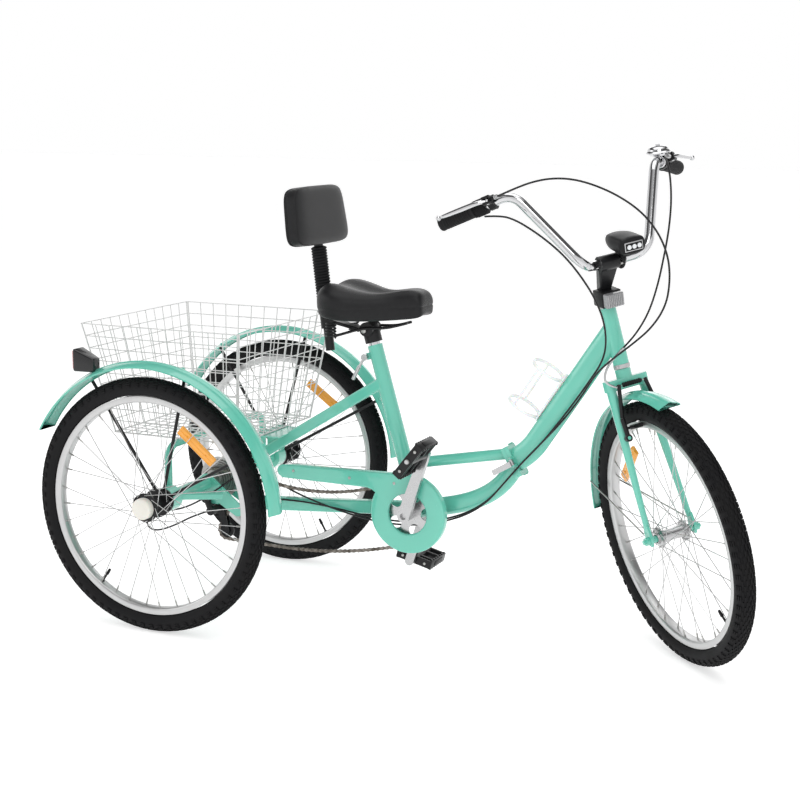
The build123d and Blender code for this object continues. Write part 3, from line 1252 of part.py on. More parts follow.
# As the bar stands turned, from the right lever round the head tube and along the frame.
REAR_BRAKE_ROUTE = [
    (822, -181, 1048), (866, -196, 1064), (912, -203, 1074), (960, -196, 1073), (1008, -176, 1058),
    (1052, -150, 1034), (1090, -124, 1002), (1118, -100, 960), (1136, -86, 912), (1141, -82, 862),
    (1135, -84, 808), (1108, -90, 760), (1068, -98, 722), (1026, -98, 688), (982, -74, 648),
    (943, -38, 592), (899, -26.5, 532), (852, -25.5, 478), (806, -26, 428), (764, -26.5, 376),
    (722, -24, 325), (672, -23, 290), (618, -22, 268), (572, -21, 256), (530, -20, 249),
    (488, -19.5, 246), (440, -19, 247), (388, -19.5, 252), (334, -20, 259), (280, -20.5, 264),
    (226, -20.5, 267),
]
SHIFT_ROUTE = [
    (790, -165, 990), (828, -186, 984), (866, -198, 968), (904, -190, 942), (938, -170, 908),
    (966, -146, 866), (988, -118, 820), (1002, -92, 770), (1003, -68, 718), (990, -50, 672),
    (956, -37, 622), (922, -33.5, 572), (886, -32.5, 522), (848, -32, 472), (802, -32.5, 422),
    (760, -32, 370), (718, -30, 319), (668, -29, 284), (612, -28.5, 262), (570, -28, 250),
    (528, -27, 243), (486, -26.5, 240), (438, -26, 241), (386, -26.5, 248), (334, -27, 258),
    (284, -28, 270), (232, -30, 286), (190, -34, 304), (150, -42, 323), (112, -60, 334),
    (82, -82, 326), (50, -100, 300), (4, -109, 266), (-46, -112, 240), (-84, -113, 230),
    (-116, -113, 224), (-140, -112, 214), (-156, -112, 198), (-154, -111, 180), (-138, -110, 172),
    (-112, -108, 176), (-72, -104, 194), (-30, -98, 218),
]


def front_brake_cable():
    """Housing to the noodle's end at the right arm, and the bare wire across to the left arm."""
    end = arm_top(-1)
    housing = cable([barrel_end(1)] + FRONT_BRAKE_ROUTE + [(end.X, end.Y - 6.2, end.Z - 5)])
    far = arm_top(1)
    wire = rod(end + Vector(0, 4.5 + CLEAR, -3), far - Vector(0, 4.5 + CLEAR, 3), 0.9)
    return solids(housing, wire)


def rear_brake_cable():
    x, y, z = REAR_STOP
    return cable([steered_point(barrel_end(-1))] + REAR_BRAKE_ROUTE + [(x + 5 + CLEAR, y - 2, z + 3)])


def shift_cable():
    ring, _ = bar_point(GRIP_LENGTH - SHIFTER_LENGTH / 2, -1)
    x, y, z = steered_point(tuple(ring))
    drop = GRIP_RADIUS + 3
    gx, gz = GUIDE_PULLEY
    end = (gx - 2 - 11 - CLEAR, YOKE_RIGHT_Y - 10, gz - 5)
    return cable([(x + drop * 0.4, y, z - drop * 0.92 - CABLE_RADIUS)] + SHIFT_ROUTE + [end])


# ---------------------------------------------------------------- assembly
def wheel(name, hub, circle, spacing, place):
    """The four nodes of one wheel, put where the wheel stands."""
    return {
        name + "_tyre": place(tyre()),
        name + "_rim": place(rim()),
        name + "_spokes": place(spokes(circle, spacing)),
        name + "_hub": place(hub),
    }


def nodes():
    right = Pos(0, -TRACK / 2, WHEEL_RADIUS)
    left = Pos(0, TRACK / 2, WHEEL_RADIUS)
    front = Pos(WHEELBASE, 0, WHEEL_RADIUS)
    parts = {
        "rear_frame": solids(rear_frame(), hinge_pin()),
        "frame_bearings": frame_bearings(),
        "chainguard": chainguard(),
        "chain": chain(),
        "freewheel": freewheel(),
        "drive_axle": drive_axle(),
        "derailleur_body": derailleur_body(),
        "derailleur_cage": derailleur_cage(),
        "crank_spindle": crank_spindle(),
        "right_crank": right_crank(),
        "left_crank": crank_arm(PEDAL_LEFT, 1),
        "right_pedal": pedal(PEDAL_RIGHT, -1, PEDAL_TILT_RIGHT),
        "left_pedal": pedal(PEDAL_LEFT, 1, PEDAL_TILT_LEFT),
        "rear_fender_right": rear_fender(-1),
        "rear_fender_left": rear_fender(1),
        "rear_fender_stays": rear_fender_stays(),
        "tail_light": tail_light(),
        "basket": basket(),
        "seat_post": seat_post(),
        "saddle_clamp": saddle_clamp(),
        "saddle_springs": saddle_springs(),
        "saddle": saddle(),
        "seat_clamp_lever": seat_clamp_lever(),
        "backrest_post": backrest_post(),
        "backrest_sleeve": backrest_sleeve(),
        "backrest_pad": backrest_pad(),
        "front_frame": front_frame(),
        "fold_lever": fold_lever(),
        "headset_cups": headset_cups(),
        "bottle_cage": bottle_cage(),
        "rear_brake_cable": rear_brake_cable(),
        "shift_cable": shift_cable(),
    }
    rear_spacing = REAR_FLANGE_SPACING
    parts |= wheel("rear_right", solids(rear_hub(-1), hub_cap(-1)), SPOKE_CIRCLE, rear_spacing, lambda shape: right * shape)
    parts |= wheel("rear_left", solids(rear_hub(1), hub_cap(1)), SPOKE_CIRCLE, rear_spacing, lambda shape: left * shape)
    parts |= wheel("front", front_hub(), FRONT_SPOKE_CIRCLE, FRONT_FLANGE_SPACING,
                   lambda shape: steered(front * shape))
    on_fork = {
        "fork": fork(),
        "front_fender": front_fender(),
        "stem": stem(),
        "handlebar": handlebar(),
        "grips": grips(),
        "twist_shifter": twist_shifter(),
        "brake_lever_mounts": brake_lever_mounts(),
        "right_brake_lever": brake_lever(-1),
        "left_brake_lever": brake_lever(1),
        "bell": bell(),
        "bell_lever": bell_lever(),
        "headlight": headlight(),
        "front_reflector": front_reflector(),
        "right_brake_arm": v_brake_arm(-1),
        "left_brake_arm": v_brake_arm(1),
        "front_brake_cable": front_brake_cable(),
    }
    return parts | {name: steered(shape) for name, shape in on_fork.items()}


def export():
    os.makedirs("parts", exist_ok=True)
    to_middle = Pos(-ORIGIN_AHEAD_OF_REAR_AXLE, 0, 0)
    for name, shape in nodes().items():
        export_step(to_middle * solids(shape), f"parts/{name}.step")


export()
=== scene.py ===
import json
import math

import bpy
from bpy.props import FloatProperty, FloatVectorProperty, IntProperty, PointerProperty
from mathutils import Matrix, Vector


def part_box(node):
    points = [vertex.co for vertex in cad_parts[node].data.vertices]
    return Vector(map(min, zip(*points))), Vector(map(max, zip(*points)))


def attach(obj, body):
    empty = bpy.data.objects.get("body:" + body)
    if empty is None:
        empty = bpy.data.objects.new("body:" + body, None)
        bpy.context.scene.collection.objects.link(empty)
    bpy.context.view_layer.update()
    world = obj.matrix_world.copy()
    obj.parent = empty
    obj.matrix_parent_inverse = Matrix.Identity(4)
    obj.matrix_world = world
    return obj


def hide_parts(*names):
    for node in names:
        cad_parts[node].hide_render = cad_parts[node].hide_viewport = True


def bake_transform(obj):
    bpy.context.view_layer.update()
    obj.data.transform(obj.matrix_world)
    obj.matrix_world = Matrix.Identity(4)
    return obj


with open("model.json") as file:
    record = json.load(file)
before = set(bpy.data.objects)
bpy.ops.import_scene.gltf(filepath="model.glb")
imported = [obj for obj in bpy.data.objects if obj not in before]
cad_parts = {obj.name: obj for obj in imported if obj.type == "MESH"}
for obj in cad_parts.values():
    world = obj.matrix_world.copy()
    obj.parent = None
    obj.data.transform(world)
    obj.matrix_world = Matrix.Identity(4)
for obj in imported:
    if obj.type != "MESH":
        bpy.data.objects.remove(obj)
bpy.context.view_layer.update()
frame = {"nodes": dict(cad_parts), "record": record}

bl_info = {
    "name": "Adult Tricycle",
    "version": (1, 0, 0),
    "blender": (4, 5, 0),
    "location": "View3D > Sidebar > Tricycle",
    "description": "Finishes a cargo tricycle over its packed frame",
    "category": "Object",
}

# ---------------------------------------------------------------- places taken from the frame
JOINTS = {joint["name"]: joint for joint in frame["record"]["behaviour"]["joints"]}


def joint_place(name):
    """A joint's point and axis."""
    joint = JOINTS[name]
    return Vector(joint["pos_m"]), Vector(joint["axis"])


RIGHT_AXLE, _ = joint_place("right_wheel_spin")
LEFT_AXLE, _ = joint_place("left_wheel_spin")
STEER_FOOT, STEER_UP = joint_place("steer")
BACK_AXIS = Vector(JOINTS["backrest_height"]["axis"])
STEER_ANGLE = math.radians(-46)
TURN = (Matrix.Translation(STEER_FOOT) @ Matrix.Rotation(STEER_ANGLE, 4, STEER_UP)
        @ Matrix.Translation(-STEER_FOOT))


def at(x, y, z):
    """Point measured in millimetres from the ground under the rear axle."""
    return Vector((RIGHT_AXLE.x + x * 0.001, y * 0.001, z * 0.001))


def turned(point):
    """Where a point of the straight-ahead fork group lies with the bar turned."""
    return TURN @ point


# ---------------------------------------------------------------- sizes and colours
class TricycleSettings(bpy.types.PropertyGroup):
    tyre_radius: FloatProperty(
        name="Tyre radius", description="Outside of the tread", default=0.302, unit="LENGTH")
    tyre_section: FloatProperty(
        name="Tyre section", description="Half the tyre's width", default=0.024, unit="LENGTH")
    tread_height: FloatProperty(
        name="Tread height", description="How far the blocks stand out", default=0.0026, unit="LENGTH")
    tread_blocks: IntProperty(
        name="Tread blocks", description="Rows of blocks round the tyre", default=150, min=60, max=240)
    spokes: IntProperty(
        name="Spokes", description="Spokes in each wheel", default=36, min=12, max=48)
    basket_wire: FloatProperty(
        name="Basket wire", description="Thickness of the thin wires", default=0.0026, unit="LENGTH")
    cable_radius: FloatProperty(
        name="Cable radius", description="Half the housing's thickness", default=0.0022, unit="LENGTH")
    chain_pitch: FloatProperty(
        name="Chain pitch", description="From pin to pin", default=0.0127, unit="LENGTH")
    paint: FloatVectorProperty(
        name="Paint", description="Enamel of the frame and fenders", subtype="COLOR", size=3,
        default=(0.130, 0.560, 0.430), min=0, max=1)
    black: FloatVectorProperty(
        name="Black", description="Moulded plastic and rubber", subtype="COLOR", size=3,
        default=(0.008, 0.008, 0.009), min=0, max=1)
    amber: FloatVectorProperty(
        name="Amber", description="Wheel reflectors", subtype="COLOR", size=3,
        default=(0.88, 0.36, 0.005), min=0, max=1)
    cream: FloatVectorProperty(
        name="Cream", description="Hub caps", subtype="COLOR", size=3,
        default=(0.78, 0.76, 0.70), min=0, max=1)


def settings():
    return bpy.context.scene.tricycle


# ---------------------------------------------------------------- shader maths
class Value:
    """A shader socket that takes part in arithmetic."""

    def __init__(self, finish, socket):
        self.finish = finish
        self.socket = socket

    def _with(self, operation, first, second):
        return self.finish.node("ShaderNodeMath", {"operation": operation}, first, second)

    def __add__(self, other):
        return self._with("ADD", self, other)

    def __radd__(self, other):
        return self._with("ADD", other, self)

    def __sub__(self, other):
        return self._with("SUBTRACT", self, other)

    def __rsub__(self, other):
        return self._with("SUBTRACT", other, self)

    def __mul__(self, other):
        return self._with("MULTIPLY", self, other)

    def __rmul__(self, other):
        return self._with("MULTIPLY", other, self)

    def __pow__(self, other):
        return self._with("POWER", self, other)


class Finish:
    """A material whose nodes are added one call at a time."""

    def __init__(self, name, **constants):
        self.material = bpy.data.materials.new(name)
        self.material.use_nodes = True
        self.tree = self.material.node_tree
        self.shader = self.tree.nodes["Principled BSDF"]
        for key, value in constants.items():
            self.shader.inputs[key.replace("_", " ")].default_value = value

    def node(self, kind, options=None, *inputs, out=0, **named):
        """Add a node: options are set first, then its sockets by order or by name."""
        node = self.tree.nodes.new(kind)
        for key, value in (options or {}).items():
            if key == "stops":
                self._ramp(node, value)
            else:
                setattr(node, key, value)
        sockets = list(enumerate(inputs)) + [(key.replace("_", " "), value) for key, value in named.items()]
        for key, value in sockets:
            if value is not None:
                self._feed(node.inputs[key], value)
        return Value(self, node.outputs[out])

    def _ramp(self, node, stops):
        elements = node.color_ramp.elements
        while len(elements) < len(stops):
            elements.new(0.5)
        for element, (place, colour) in zip(elements, stops):
            element.position = place
            element.color = colour

    def _feed(self, socket, value):
        if isinstance(value, Value):
            self.tree.links.new(value.socket, socket)
        else:
            socket.default_value = value

    def places(self, scale=(1, 1, 1)):
        """Object coordinates, stretched by a scale."""
        coordinates = self.node("ShaderNodeTexCoord", out=3)
        return self.node("ShaderNodeMapping", None, coordinates, Scale=scale)

    def noise(self, scale, detail=3.0, stretch=(1, 1, 1), roughness=0.55):
        return self.node("ShaderNodeTexNoise", None, Vector=self.places(stretch), Scale=scale, Detail=detail,
                         Roughness=roughness)

    def cells(self, scale, feature="F1", out=0, stretch=(1, 1, 1)):
        return self.node("ShaderNodeTexVoronoi", {"feature": feature}, Vector=self.places(stretch),
                         Scale=scale, out=out)

    def mix(self, factor, first, second):
        """Blend of two colours."""
        node = self.tree.nodes.new("ShaderNodeMix")
        node.data_type = "RGBA"
        for key, value in ((0, factor), (6, first), (7, second)):
            self._feed(node.inputs[key], value)
        return Value(self, node.outputs[2])

    def ramp(self, factor, *stops):
        greys = [(place, (level, level, level, 1)) for place, level in stops]
        return self.node("ShaderNodeValToRGB", {"stops": greys}, factor)

    def colour(self, value):
        self._feed(self.shader.inputs["Base Color"], value)

    def rough(self, value):
        self._feed(self.shader.inputs["Roughness"], value)

    def bump(self, height, strength, distance=0.001):
        value = self.node("ShaderNodeBump", None, Strength=strength, Distance=distance, Height=height)
        self._feed(self.shader.inputs["Normal"], value)


def shade(colour, factor):
    return tuple(min(1, c * factor) for c in colour) + (1,)


def paint_finish():
    """Gloss enamel with a faint orange peel."""
    colour = tuple(settings().paint)
    finish = Finish("mint_enamel", Coat_Weight=1.0, Coat_Roughness=0.03, Specular_IOR_Level=0.5)
    cloud = finish.noise(9, 2)
    finish.colour(finish.mix(cloud, shade(colour, 0.94), shade(colour, 1.05)))
    finish.rough(0.20 + finish.noise(60, 3) * 0.10)
    finish.bump(finish.noise(420, 2), 0.05, 0.0006)
    return finish.material


def metal_finish(name, level, rough, vary, stretch=(1, 1, 1), scale=160, tint=(1, 1, 1)):
    """Bare metal with streaks or smudges in its polish."""
    finish = Finish(name, Metallic=1.0)
    colour = tuple(level * t for t in tint)
    streaks = finish.noise(scale, 4, stretch)
    smudges = finish.noise(26, 3)
    finish.colour(finish.mix(smudges, shade(colour, 0.9), shade(colour, 1.06)))
    finish.rough(rough + (streaks * 0.6 + smudges * 0.4) * vary)
    finish.bump(streaks, 0.04, 0.0004)
    return finish.material


def chain_finish():
    """Oiled steel, darker in patches."""
    finish = Finish("oiled_chain", Metallic=0.9)
    grime = finish.ramp(finish.noise(90, 4), (0.35, 0), (0.7, 1))
    finish.colour(finish.mix(grime, (0.10, 0.085, 0.07, 1), (0.34, 0.31, 0.28, 1)))
    finish.rough(0.5 - grime * 0.18)
    return finish.material


def tyre_finish():
    """Black rubber, paler and dustier in patches."""
    finish = Finish("tyre_rubber", Specular_IOR_Level=0.16)
    dust = finish.ramp(finish.noise(14, 5), (0.42, 0), (0.75, 1))
    finish.colour(finish.mix(dust * 0.5, (0.007, 0.007, 0.008, 1), (0.020, 0.019, 0.018, 1)))
    finish.rough(0.62 + dust * 0.2)
    finish.bump(finish.noise(700, 3) + finish.noise(120, 2) * 0.5, 0.22, 0.0005)
    return finish.material


def plastic_finish(name, colour, rough, grain=900, strength=0.12, coat=0.0, subsurface=0.0):
    """Moulded plastic with a fine eroded grain."""
    finish = Finish(name, Coat_Weight=coat, Coat_Roughness=0.08, Subsurface_Weight=subsurface,
                    Specular_IOR_Level=0.22)
    cloud = finish.noise(30, 3)
    finish.colour(finish.mix(cloud, shade(colour, 0.88), shade(colour, 1.1)))
    finish.rough(rough + cloud * 0.08)
    finish.bump(finish.cells(grain), strength, 0.0004)
    return finish.material


def vinyl_finish():
    """Black vinyl with a pebbled leather grain and fine creases, its colour a little darker down in the
    creases as painted shade.
    """
    finish = Finish("black_vinyl", Specular_IOR_Level=0.26)
    pebbles = finish.cells(520, "DISTANCE_TO_EDGE")
    creases = finish.noise(95, 6, (1, 1.5, 1))
    # Colour follows the crease bump and is darker where the surface sinks: painted shade in the creases.
    finish.colour(finish.mix(creases, (0.004, 0.004, 0.005, 1), (0.011, 0.011, 0.012, 1)))
    finish.rough(0.30 + creases * 0.16)
    finish.bump(finish.ramp(pebbles, (0.0, 0), (0.16, 1)) * 0.5 + creases * 0.6, 0.30, 0.0006)
    return finish.material


def lens_finish(name, colour, glow=0.0):
    """Reflector plastic with a pyramid pattern moulded inside, each facet's colour lighter in its middle and
    darker at its edges as painted highlight and shade.
    """
    finish = Finish(name, Coat_Weight=1.0, Coat_Roughness=0.03, Specular_IOR_Level=0.7)
    facets = finish.node("ShaderNodeTexVoronoi", {"distance": "CHEBYCHEV"}, Vector=finish.places(), Scale=330,
                         Randomness=0.0)
    # Each facet is lighter in the middle and darker towards its edges: painted highlight and painted shade on
    # the moulded pyramids.
    finish.colour(finish.mix(facets * 1.6, shade(colour, 1.15), shade(colour, 0.72)))
    finish.rough(0.16 + facets * 0.1)
    finish.bump(facets, 0.5, 0.0012)
    # Emission: for the lamp lenses this is their own light; for the wheel reflectors, which are no lamp, it is
    # a painted glow.
    finish.shader.inputs["Emission Color"].default_value = shade(colour, 1)
    finish.shader.inputs["Emission Strength"].default_value = glow
    return finish.material


def wire_finish():
    """White powder coat on the basket wire."""
    finish = Finish("white_coated_wire", Coat_Weight=0.3, Coat_Roughness=0.2)
    cloud = finish.noise(22, 3)
    finish.colour(finish.mix(cloud, (0.60, 0.60, 0.60, 1), (0.74, 0.74, 0.73, 1)))
    finish.rough(0.34 + cloud * 0.12)
    finish.bump(finish.noise(800, 2), 0.08, 0.0004)
    return finish.material


def stage_finish():
    finish = Finish("studio_floor", Specular_IOR_Level=0.1, Emission_Color=(1, 1, 1, 1),
                    Emission_Strength=0.55)
    cloud = finish.noise(1.5, 2)
    finish.colour(finish.mix(cloud, (0.80, 0.80, 0.80, 1), (0.83, 0.83, 0.83, 1)))
    finish.rough(0.75 + cloud * 0.1)
    return finish.material


MATERIALS = {}


def make_materials():
    black = tuple(settings().black)
    made = [
        ("paint", paint_finish()),
        ("chrome", metal_finish("bright_chrome", 0.62, 0.05, 0.12, tint=(1, 1, 1.02))),
        ("alloy", metal_finish("polished_alloy", 0.52, 0.20, 0.16, scale=240, tint=(1, 1, 1.01))),
        ("rim", metal_finish("rim_alloy", 0.56, 0.26, 0.14, tint=(1, 1, 1))),
        ("spoke", metal_finish("spoke_wire", 0.50, 0.18, 0.10)),
        ("zinc", metal_finish("plated_bolts", 0.46, 0.26, 0.18, scale=400, tint=(1, 0.99, 0.96))),
        ("chain", chain_finish()),
        ("tyre", tyre_finish()),
        ("rubber", plastic_finish("soft_rubber", black, 0.56, 1300, 0.2)),
        ("plastic", plastic_finish("black_plastic", black, 0.38)),
        ("gloss", plastic_finish("black_gloss", black, 0.16, 500, 0.02, coat=0.6)),
        ("satin", plastic_finish("satin_black_metal", (0.010, 0.010, 0.011), 0.30, 700, 0.05, coat=0.15)),
        ("cable", plastic_finish("cable_cover", (0.012, 0.012, 0.013), 0.24, 1500, 0.03, coat=0.1)),
        ("cream", plastic_finish("cream_plastic", tuple(settings().cream), 0.42, 900, 0.04, subsurface=0.08)),
        ("milky", plastic_finish("milky_plastic", (0.88, 0.89, 0.89), 0.28, 600, 0.03, subsurface=0.25)),
        ("vinyl", vinyl_finish()),
        # The amber wheel reflectors get a faint emission: painted glow, since a reflector is no lamp.
        ("amber", lens_finish("amber_reflector", tuple(settings().amber), 0.12)),
        ("clear", lens_finish("clear_reflector", (0.30, 0.30, 0.31))),
        ("red", lens_finish("red_lens", (0.42, 0.01, 0.012), 0.03)),
        ("lamp", lens_finish("lamp_lens", (0.80, 0.82, 0.84), 0.1)),
        ("wire", wire_finish()),
    ]
    MATERIALS.update(made)


# ---------------------------------------------------------------- modelling helpers
def deselect():
    if bpy.context.object and bpy.context.object.mode != "OBJECT":
        bpy.ops.object.mode_set(mode="OBJECT")
    bpy.ops.object.select_all(action="DESELECT")


def select(piece):
    deselect()
    piece.select_set(True)
    bpy.context.view_layer.objects.active = piece


def new_piece(name, points, edges=(), faces=()):
    mesh = bpy.data.meshes.new(name)
    mesh.from_pydata([tuple(p) for p in points], edges, faces)
    piece = bpy.data.objects.new(name, mesh)
    bpy.context.scene.collection.objects.link(piece)
    select(piece)
    return piece


def settle(piece, matrix=None):
    """Bake the object's place, and any further move, into its mesh."""
    bpy.context.view_layer.update()
    piece.data.transform((matrix or Matrix.Identity(4)) @ piece.matrix_world)
    piece.matrix_world = Matrix.Identity(4)


def outward(piece, merge=0.00002):
    """Merge doubles and point every face out."""
    select(piece)
    bpy.ops.object.mode_set(mode="EDIT")
    bpy.ops.mesh.select_all(action="SELECT")
    bpy.ops.mesh.remove_doubles(threshold=merge)
    bpy.ops.mesh.normals_make_consistent(inside=False)
    bpy.ops.object.mode_set(mode="OBJECT")


def modify(piece, kind, **values):
    """Add a modifier, set it and apply it."""
    select(piece)
    modifier = piece.modifiers.new(kind.title(), kind)
    for key, value in values.items():
        setattr(modifier, key, value)
    bpy.ops.object.modifier_apply(modifier=modifier.name)


def dress(piece, material, body, replaces=(), sharp=35):
    """Give a finished piece its material, smoothing, slot and body."""
    piece.data.materials.clear()
    piece.data.materials.append(MATERIALS[material])
    select(piece)
    bpy.ops.object.shade_smooth_by_angle(angle=math.radians(sharp))
    if replaces:
        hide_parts(*replaces)
    if body:
        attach(piece, body)
    deselect()
    return piece


def join(name, pieces):
    """Several meshes as one piece."""
    select(pieces[0])
    for piece in pieces[1:]:
        piece.select_set(True)
    bpy.ops.object.join()
    joined = bpy.context.object
    joined.name = name
    joined.data.name = name
    return joined


def copied(piece, matrix, name=None):
    """A copy with its own mesh, moved by a matrix."""
    copy = piece.copy()
    copy.data = piece.data.copy()
    bpy.context.scene.collection.objects.link(copy)
    copy.data.transform(matrix)
    if name:
        copy.name = name
        copy.data.name = name
    return copy


def lathe(name, profile, steps=64, sweep=360.0, closed=False):
    """Turn a profile of (radius, along) in metres about the Y axis, starting straight up."""
    points = [(0, along, radius) for radius, along in profile]
    edges = [(i, i + 1) for i in range(len(points) - 1)]
    if closed:
        edges.append((len(points) - 1, 0))
    piece = new_piece(name, points, edges)
    bpy.ops.object.mode_set(mode="EDIT")
    bpy.ops.mesh.select_all(action="SELECT")
    bpy.ops.mesh.spin(steps=steps, angle=math.radians(sweep), center=(0, 0, 0), axis=(0, 1, 0))
    bpy.ops.object.mode_set(mode="OBJECT")
    outward(piece)
    return piece


def block(name, size, matrix, bevel=0.001, segments=3):
    """Box with rounded edges, at a placed and turned frame."""
    deselect()
    bpy.ops.mesh.primitive_cube_add(size=1)
    piece = bpy.context.object
    piece.name = name
    piece.data.name = name
    piece.data.transform(matrix @ Matrix.Diagonal((*size, 1)))
    if bevel:
        modify(piece, "BEVEL", width=bevel, segments=segments, limit_method="NONE")
    return piece


def facing(origin, along, up=Vector((0, 0, 1))):
    """Frame at an origin whose Z looks along a direction and whose Y is near up."""
    z = along.normalized()
    x = up.cross(z)
    if x.length < 1e-6:
        x = Vector((1, 0, 0))
    x.normalize()
    y = z.cross(x)
    return Matrix.Translation(origin) @ Matrix((x, y, z)).transposed().to_4x4()


def barrel(name, start, end, radius, bevel=0.0006, sides=24, top=None):
    """Round bar between two points with rounded ends, or a cone when top is given."""
    deselect()
    length = (end - start).length
    bpy.ops.mesh.primitive_cone_add(vertices=sides, radius1=radius, radius2=radius if top is None else top,
                                    depth=length)
    piece = bpy.context.object
    piece.name = name
    piece.data.name = name
    piece.data.transform(facing((start + end) / 2, end - start))
    if bevel:
        modify(piece, "BEVEL", width=bevel, segments=2, limit_method="ANGLE", angle_limit=math.radians(40))
    return piece


def nut(name, centre, along, across=0.011, height=0.006):
    """Hexagon nut with chamfered corners, centred on a bolt."""
    half = along.normalized() * height / 2
    return barrel(name, centre - half, centre + half, across / 2, 0.0008, 6)


def wires(name, lines, radius, cyclic=False, smooth=False, sides=3):
    """Round wire along each list of points, made into one mesh."""
    curve = bpy.data.curves.new(name, "CURVE")
    curve.dimensions = "3D"
    curve.bevel_depth = radius
    curve.bevel_resolution = sides
    curve.use_fill_caps = True
    curve.resolution_u = 10
    for line in lines:
        spline = curve.splines.new("NURBS" if smooth else "POLY")
        spline.points.add(len(line) - 1)
        for point, place in zip(spline.points, line):
            point.co = (*place, 1)
        spline.use_cyclic_u = cyclic
        if smooth:
            spline.order_u = 3
            spline.use_endpoint_u = not cyclic
    piece = bpy.data.objects.new(name, curve)
    bpy.context.scene.collection.objects.link(piece)
    select(piece)
    bpy.ops.object.convert(target="MESH")
    piece = bpy.context.object
    piece.data.name = name
    return piece


# ---------------------------------------------------------------- wheels
WHEELS = (
    ("rear_right", Matrix.Translation(RIGHT_AXLE), "right_rear_wheel", -1),
    ("rear_left", Matrix.Translation(LEFT_AXLE), "left_rear_wheel", 1),
    ("front", TURN @ Matrix.Translation(at(1168, 0, 302)), "front_wheel", 0),
)


def tyre_mesh():
    """Carcass turned about Y, with shoulder and crown faces raised into blocks."""
    own = settings()
    carcass = own.tyre_section - own.tread_height
    middle = own.tyre_radius - own.tyre_section
    profile = []
    for i in range(25):
        angle = math.radians(-141 + 282 * i / 24)
        profile.append((middle + carcass * math.cos(angle), carcass * math.sin(angle)))
    piece = lathe("tyre", profile, own.tread_blocks)
    select(piece)
    bpy.ops.object.mode_set(mode="EDIT")
    bpy.ops.mesh.select_mode(type="FACE")
    bpy.ops.mesh.select_all(action="DESELECT")
    bpy.ops.object.mode_set(mode="OBJECT")
    for face in piece.data.polygons:
        centre = face.center
        radial = math.hypot(centre.x, centre.z) - middle
        across = math.degrees(math.atan2(centre.y, radial))
        row = round((across + 5.875) / 11.75)
        turn = round(math.degrees(math.atan2(centre.x, centre.z)) / (360 / own.tread_blocks) - 0.5)
        crown = abs(across) < 55 and (turn + row) % 2 == 0
        shoulder = 55 <= abs(across) < 78 and turn % 2 == 0
        face.select = crown or shoulder
    bpy.ops.object.mode_set(mode="EDIT")
    bpy.ops.mesh.inset(thickness=0.0007, use_individual=True)
    bpy.ops.mesh.extrude_region_shrink_fatten(
        TRANSFORM_OT_shrink_fatten={"value": own.tread_height})
    bpy.ops.object.mode_set(mode="OBJECT")
    outward(piece)
    return piece


def rim_mesh():
    """Box-section rim with rounded walls and a well for the tyre."""
    outer, inner, half = 0.2592, 0.2438, 0.0133
    profile = [
        (outer, half), (outer - 0.0012, half + 0.0004), (inner + 0.004, half),
        (inner + 0.0012, half - 0.0016), (inner, half - 0.0048), (inner - 0.0004, 0),
        (inner, -half + 0.0048), (inner + 0.0012, -half + 0.0016),
        (inner + 0.004, -half), (outer - 0.0012, -half - 0.0004), (outer, -half),
        (outer - 0.0006, -half + 0.0019), (outer - 0.008, -half + 0.003), (outer - 0.0095, 0),
        (outer - 0.008, half - 0.003), (outer - 0.0006, half - 0.0019),
    ]
    return lathe("rim", profile, 128, closed=True)


def hub_mesh(half, barrel_radius, flange, thick):
    """Hub shell with two rounded flanges."""
    profile = [(0.0095, -half - 0.009), (barrel_radius * 0.8, -half - 0.009),
               (barrel_radius * 0.86, -half - thick)]
    for side in (-1, 1):
        place = side * half
        profile += [
            (flange - 0.004, place - thick / 2), (flange, place - thick / 4), (flange, place + thick / 4),
            (flange - 0.004, place + thick / 2), (barrel_radius * (1.0 if side < 0 else 0.86),
                                                  place + thick if side > 0 else place + thick * 0.9)]
        if side < 0:
            profile += [(barrel_radius * 0.84, 0), (barrel_radius, half - thick * 0.9)]
    profile += [(barrel_radius * 0.8, half + 0.009), (0.0095, half + 0.009)]
    return lathe("hub", profile, 48)


def cap_mesh(side):
    """Domed plastic cap over the end of the axle."""
    start, radius = 0.027, 0.0250
    profile = [(0.012, start), (radius - 0.002, start), (radius, start + 0.001), (radius, start + 0.013)]
    for i in range(1, 7):
        bend = math.radians(90 * i / 6)
        profile.append((radius - 0.0045 + 0.0045 * math.cos(bend), start + 0.0135 + 0.0045 * math.sin(bend)))
    profile += [(0.012, start + 0.0186), (0.0, start + 0.0190)]
    piece = lathe("cap", [(r, side * y) for r, y in profile], 64)
    return piece


def spoke_lines(circle, spacing, nipple):
    """Ends of each spoke, or of its nipple at the rim."""
    lines = []
    per_side = settings().spokes // 2
    for side in (1, -1):
        for i in range(per_side):
            at_rim = 2 * math.pi * (i + (0.25 if side > 0 else -0.25)) / per_side
            cross = 1 if i % 2 else -1
            at_hub = at_rim + cross * math.radians(72)
            proud = 0.003 + (0.0015 if cross > 0 else 0.00015)
            start = Vector((circle * math.cos(at_hub), side * (spacing / 2 + cross * proud),
                            circle * math.sin(at_hub)))
            end = Vector((0.2436 * math.cos(at_rim), side * 0.004, 0.2436 * math.sin(at_rim)))
            along = (start - end).normalized()
            if nipple:
                lines.append((end + along * 0.013, end - along * 0.001))
            else:
                lines.append((start, end + along * 0.002))
    return lines


def valve_mesh(angle):
    """Valve stem with its cap, pointing in from the rim."""
    inward = Vector((-math.sin(angle), 0, -math.cos(angle)))
    foot = -inward * 0.246
    stem = barrel("valve_stem", foot, foot + inward * 0.026, 0.0026, 0.0003, 12)
    cap = barrel("valve_cap", foot + inward * 0.024, foot + inward * 0.040, 0.0042, 0.0012, 12, 0.0030)
    ring = barrel("valve_ring", foot + inward * 0.001, foot + inward * 0.004, 0.0048, 0.0004, 6)
    return join("valve", [stem, cap, ring])


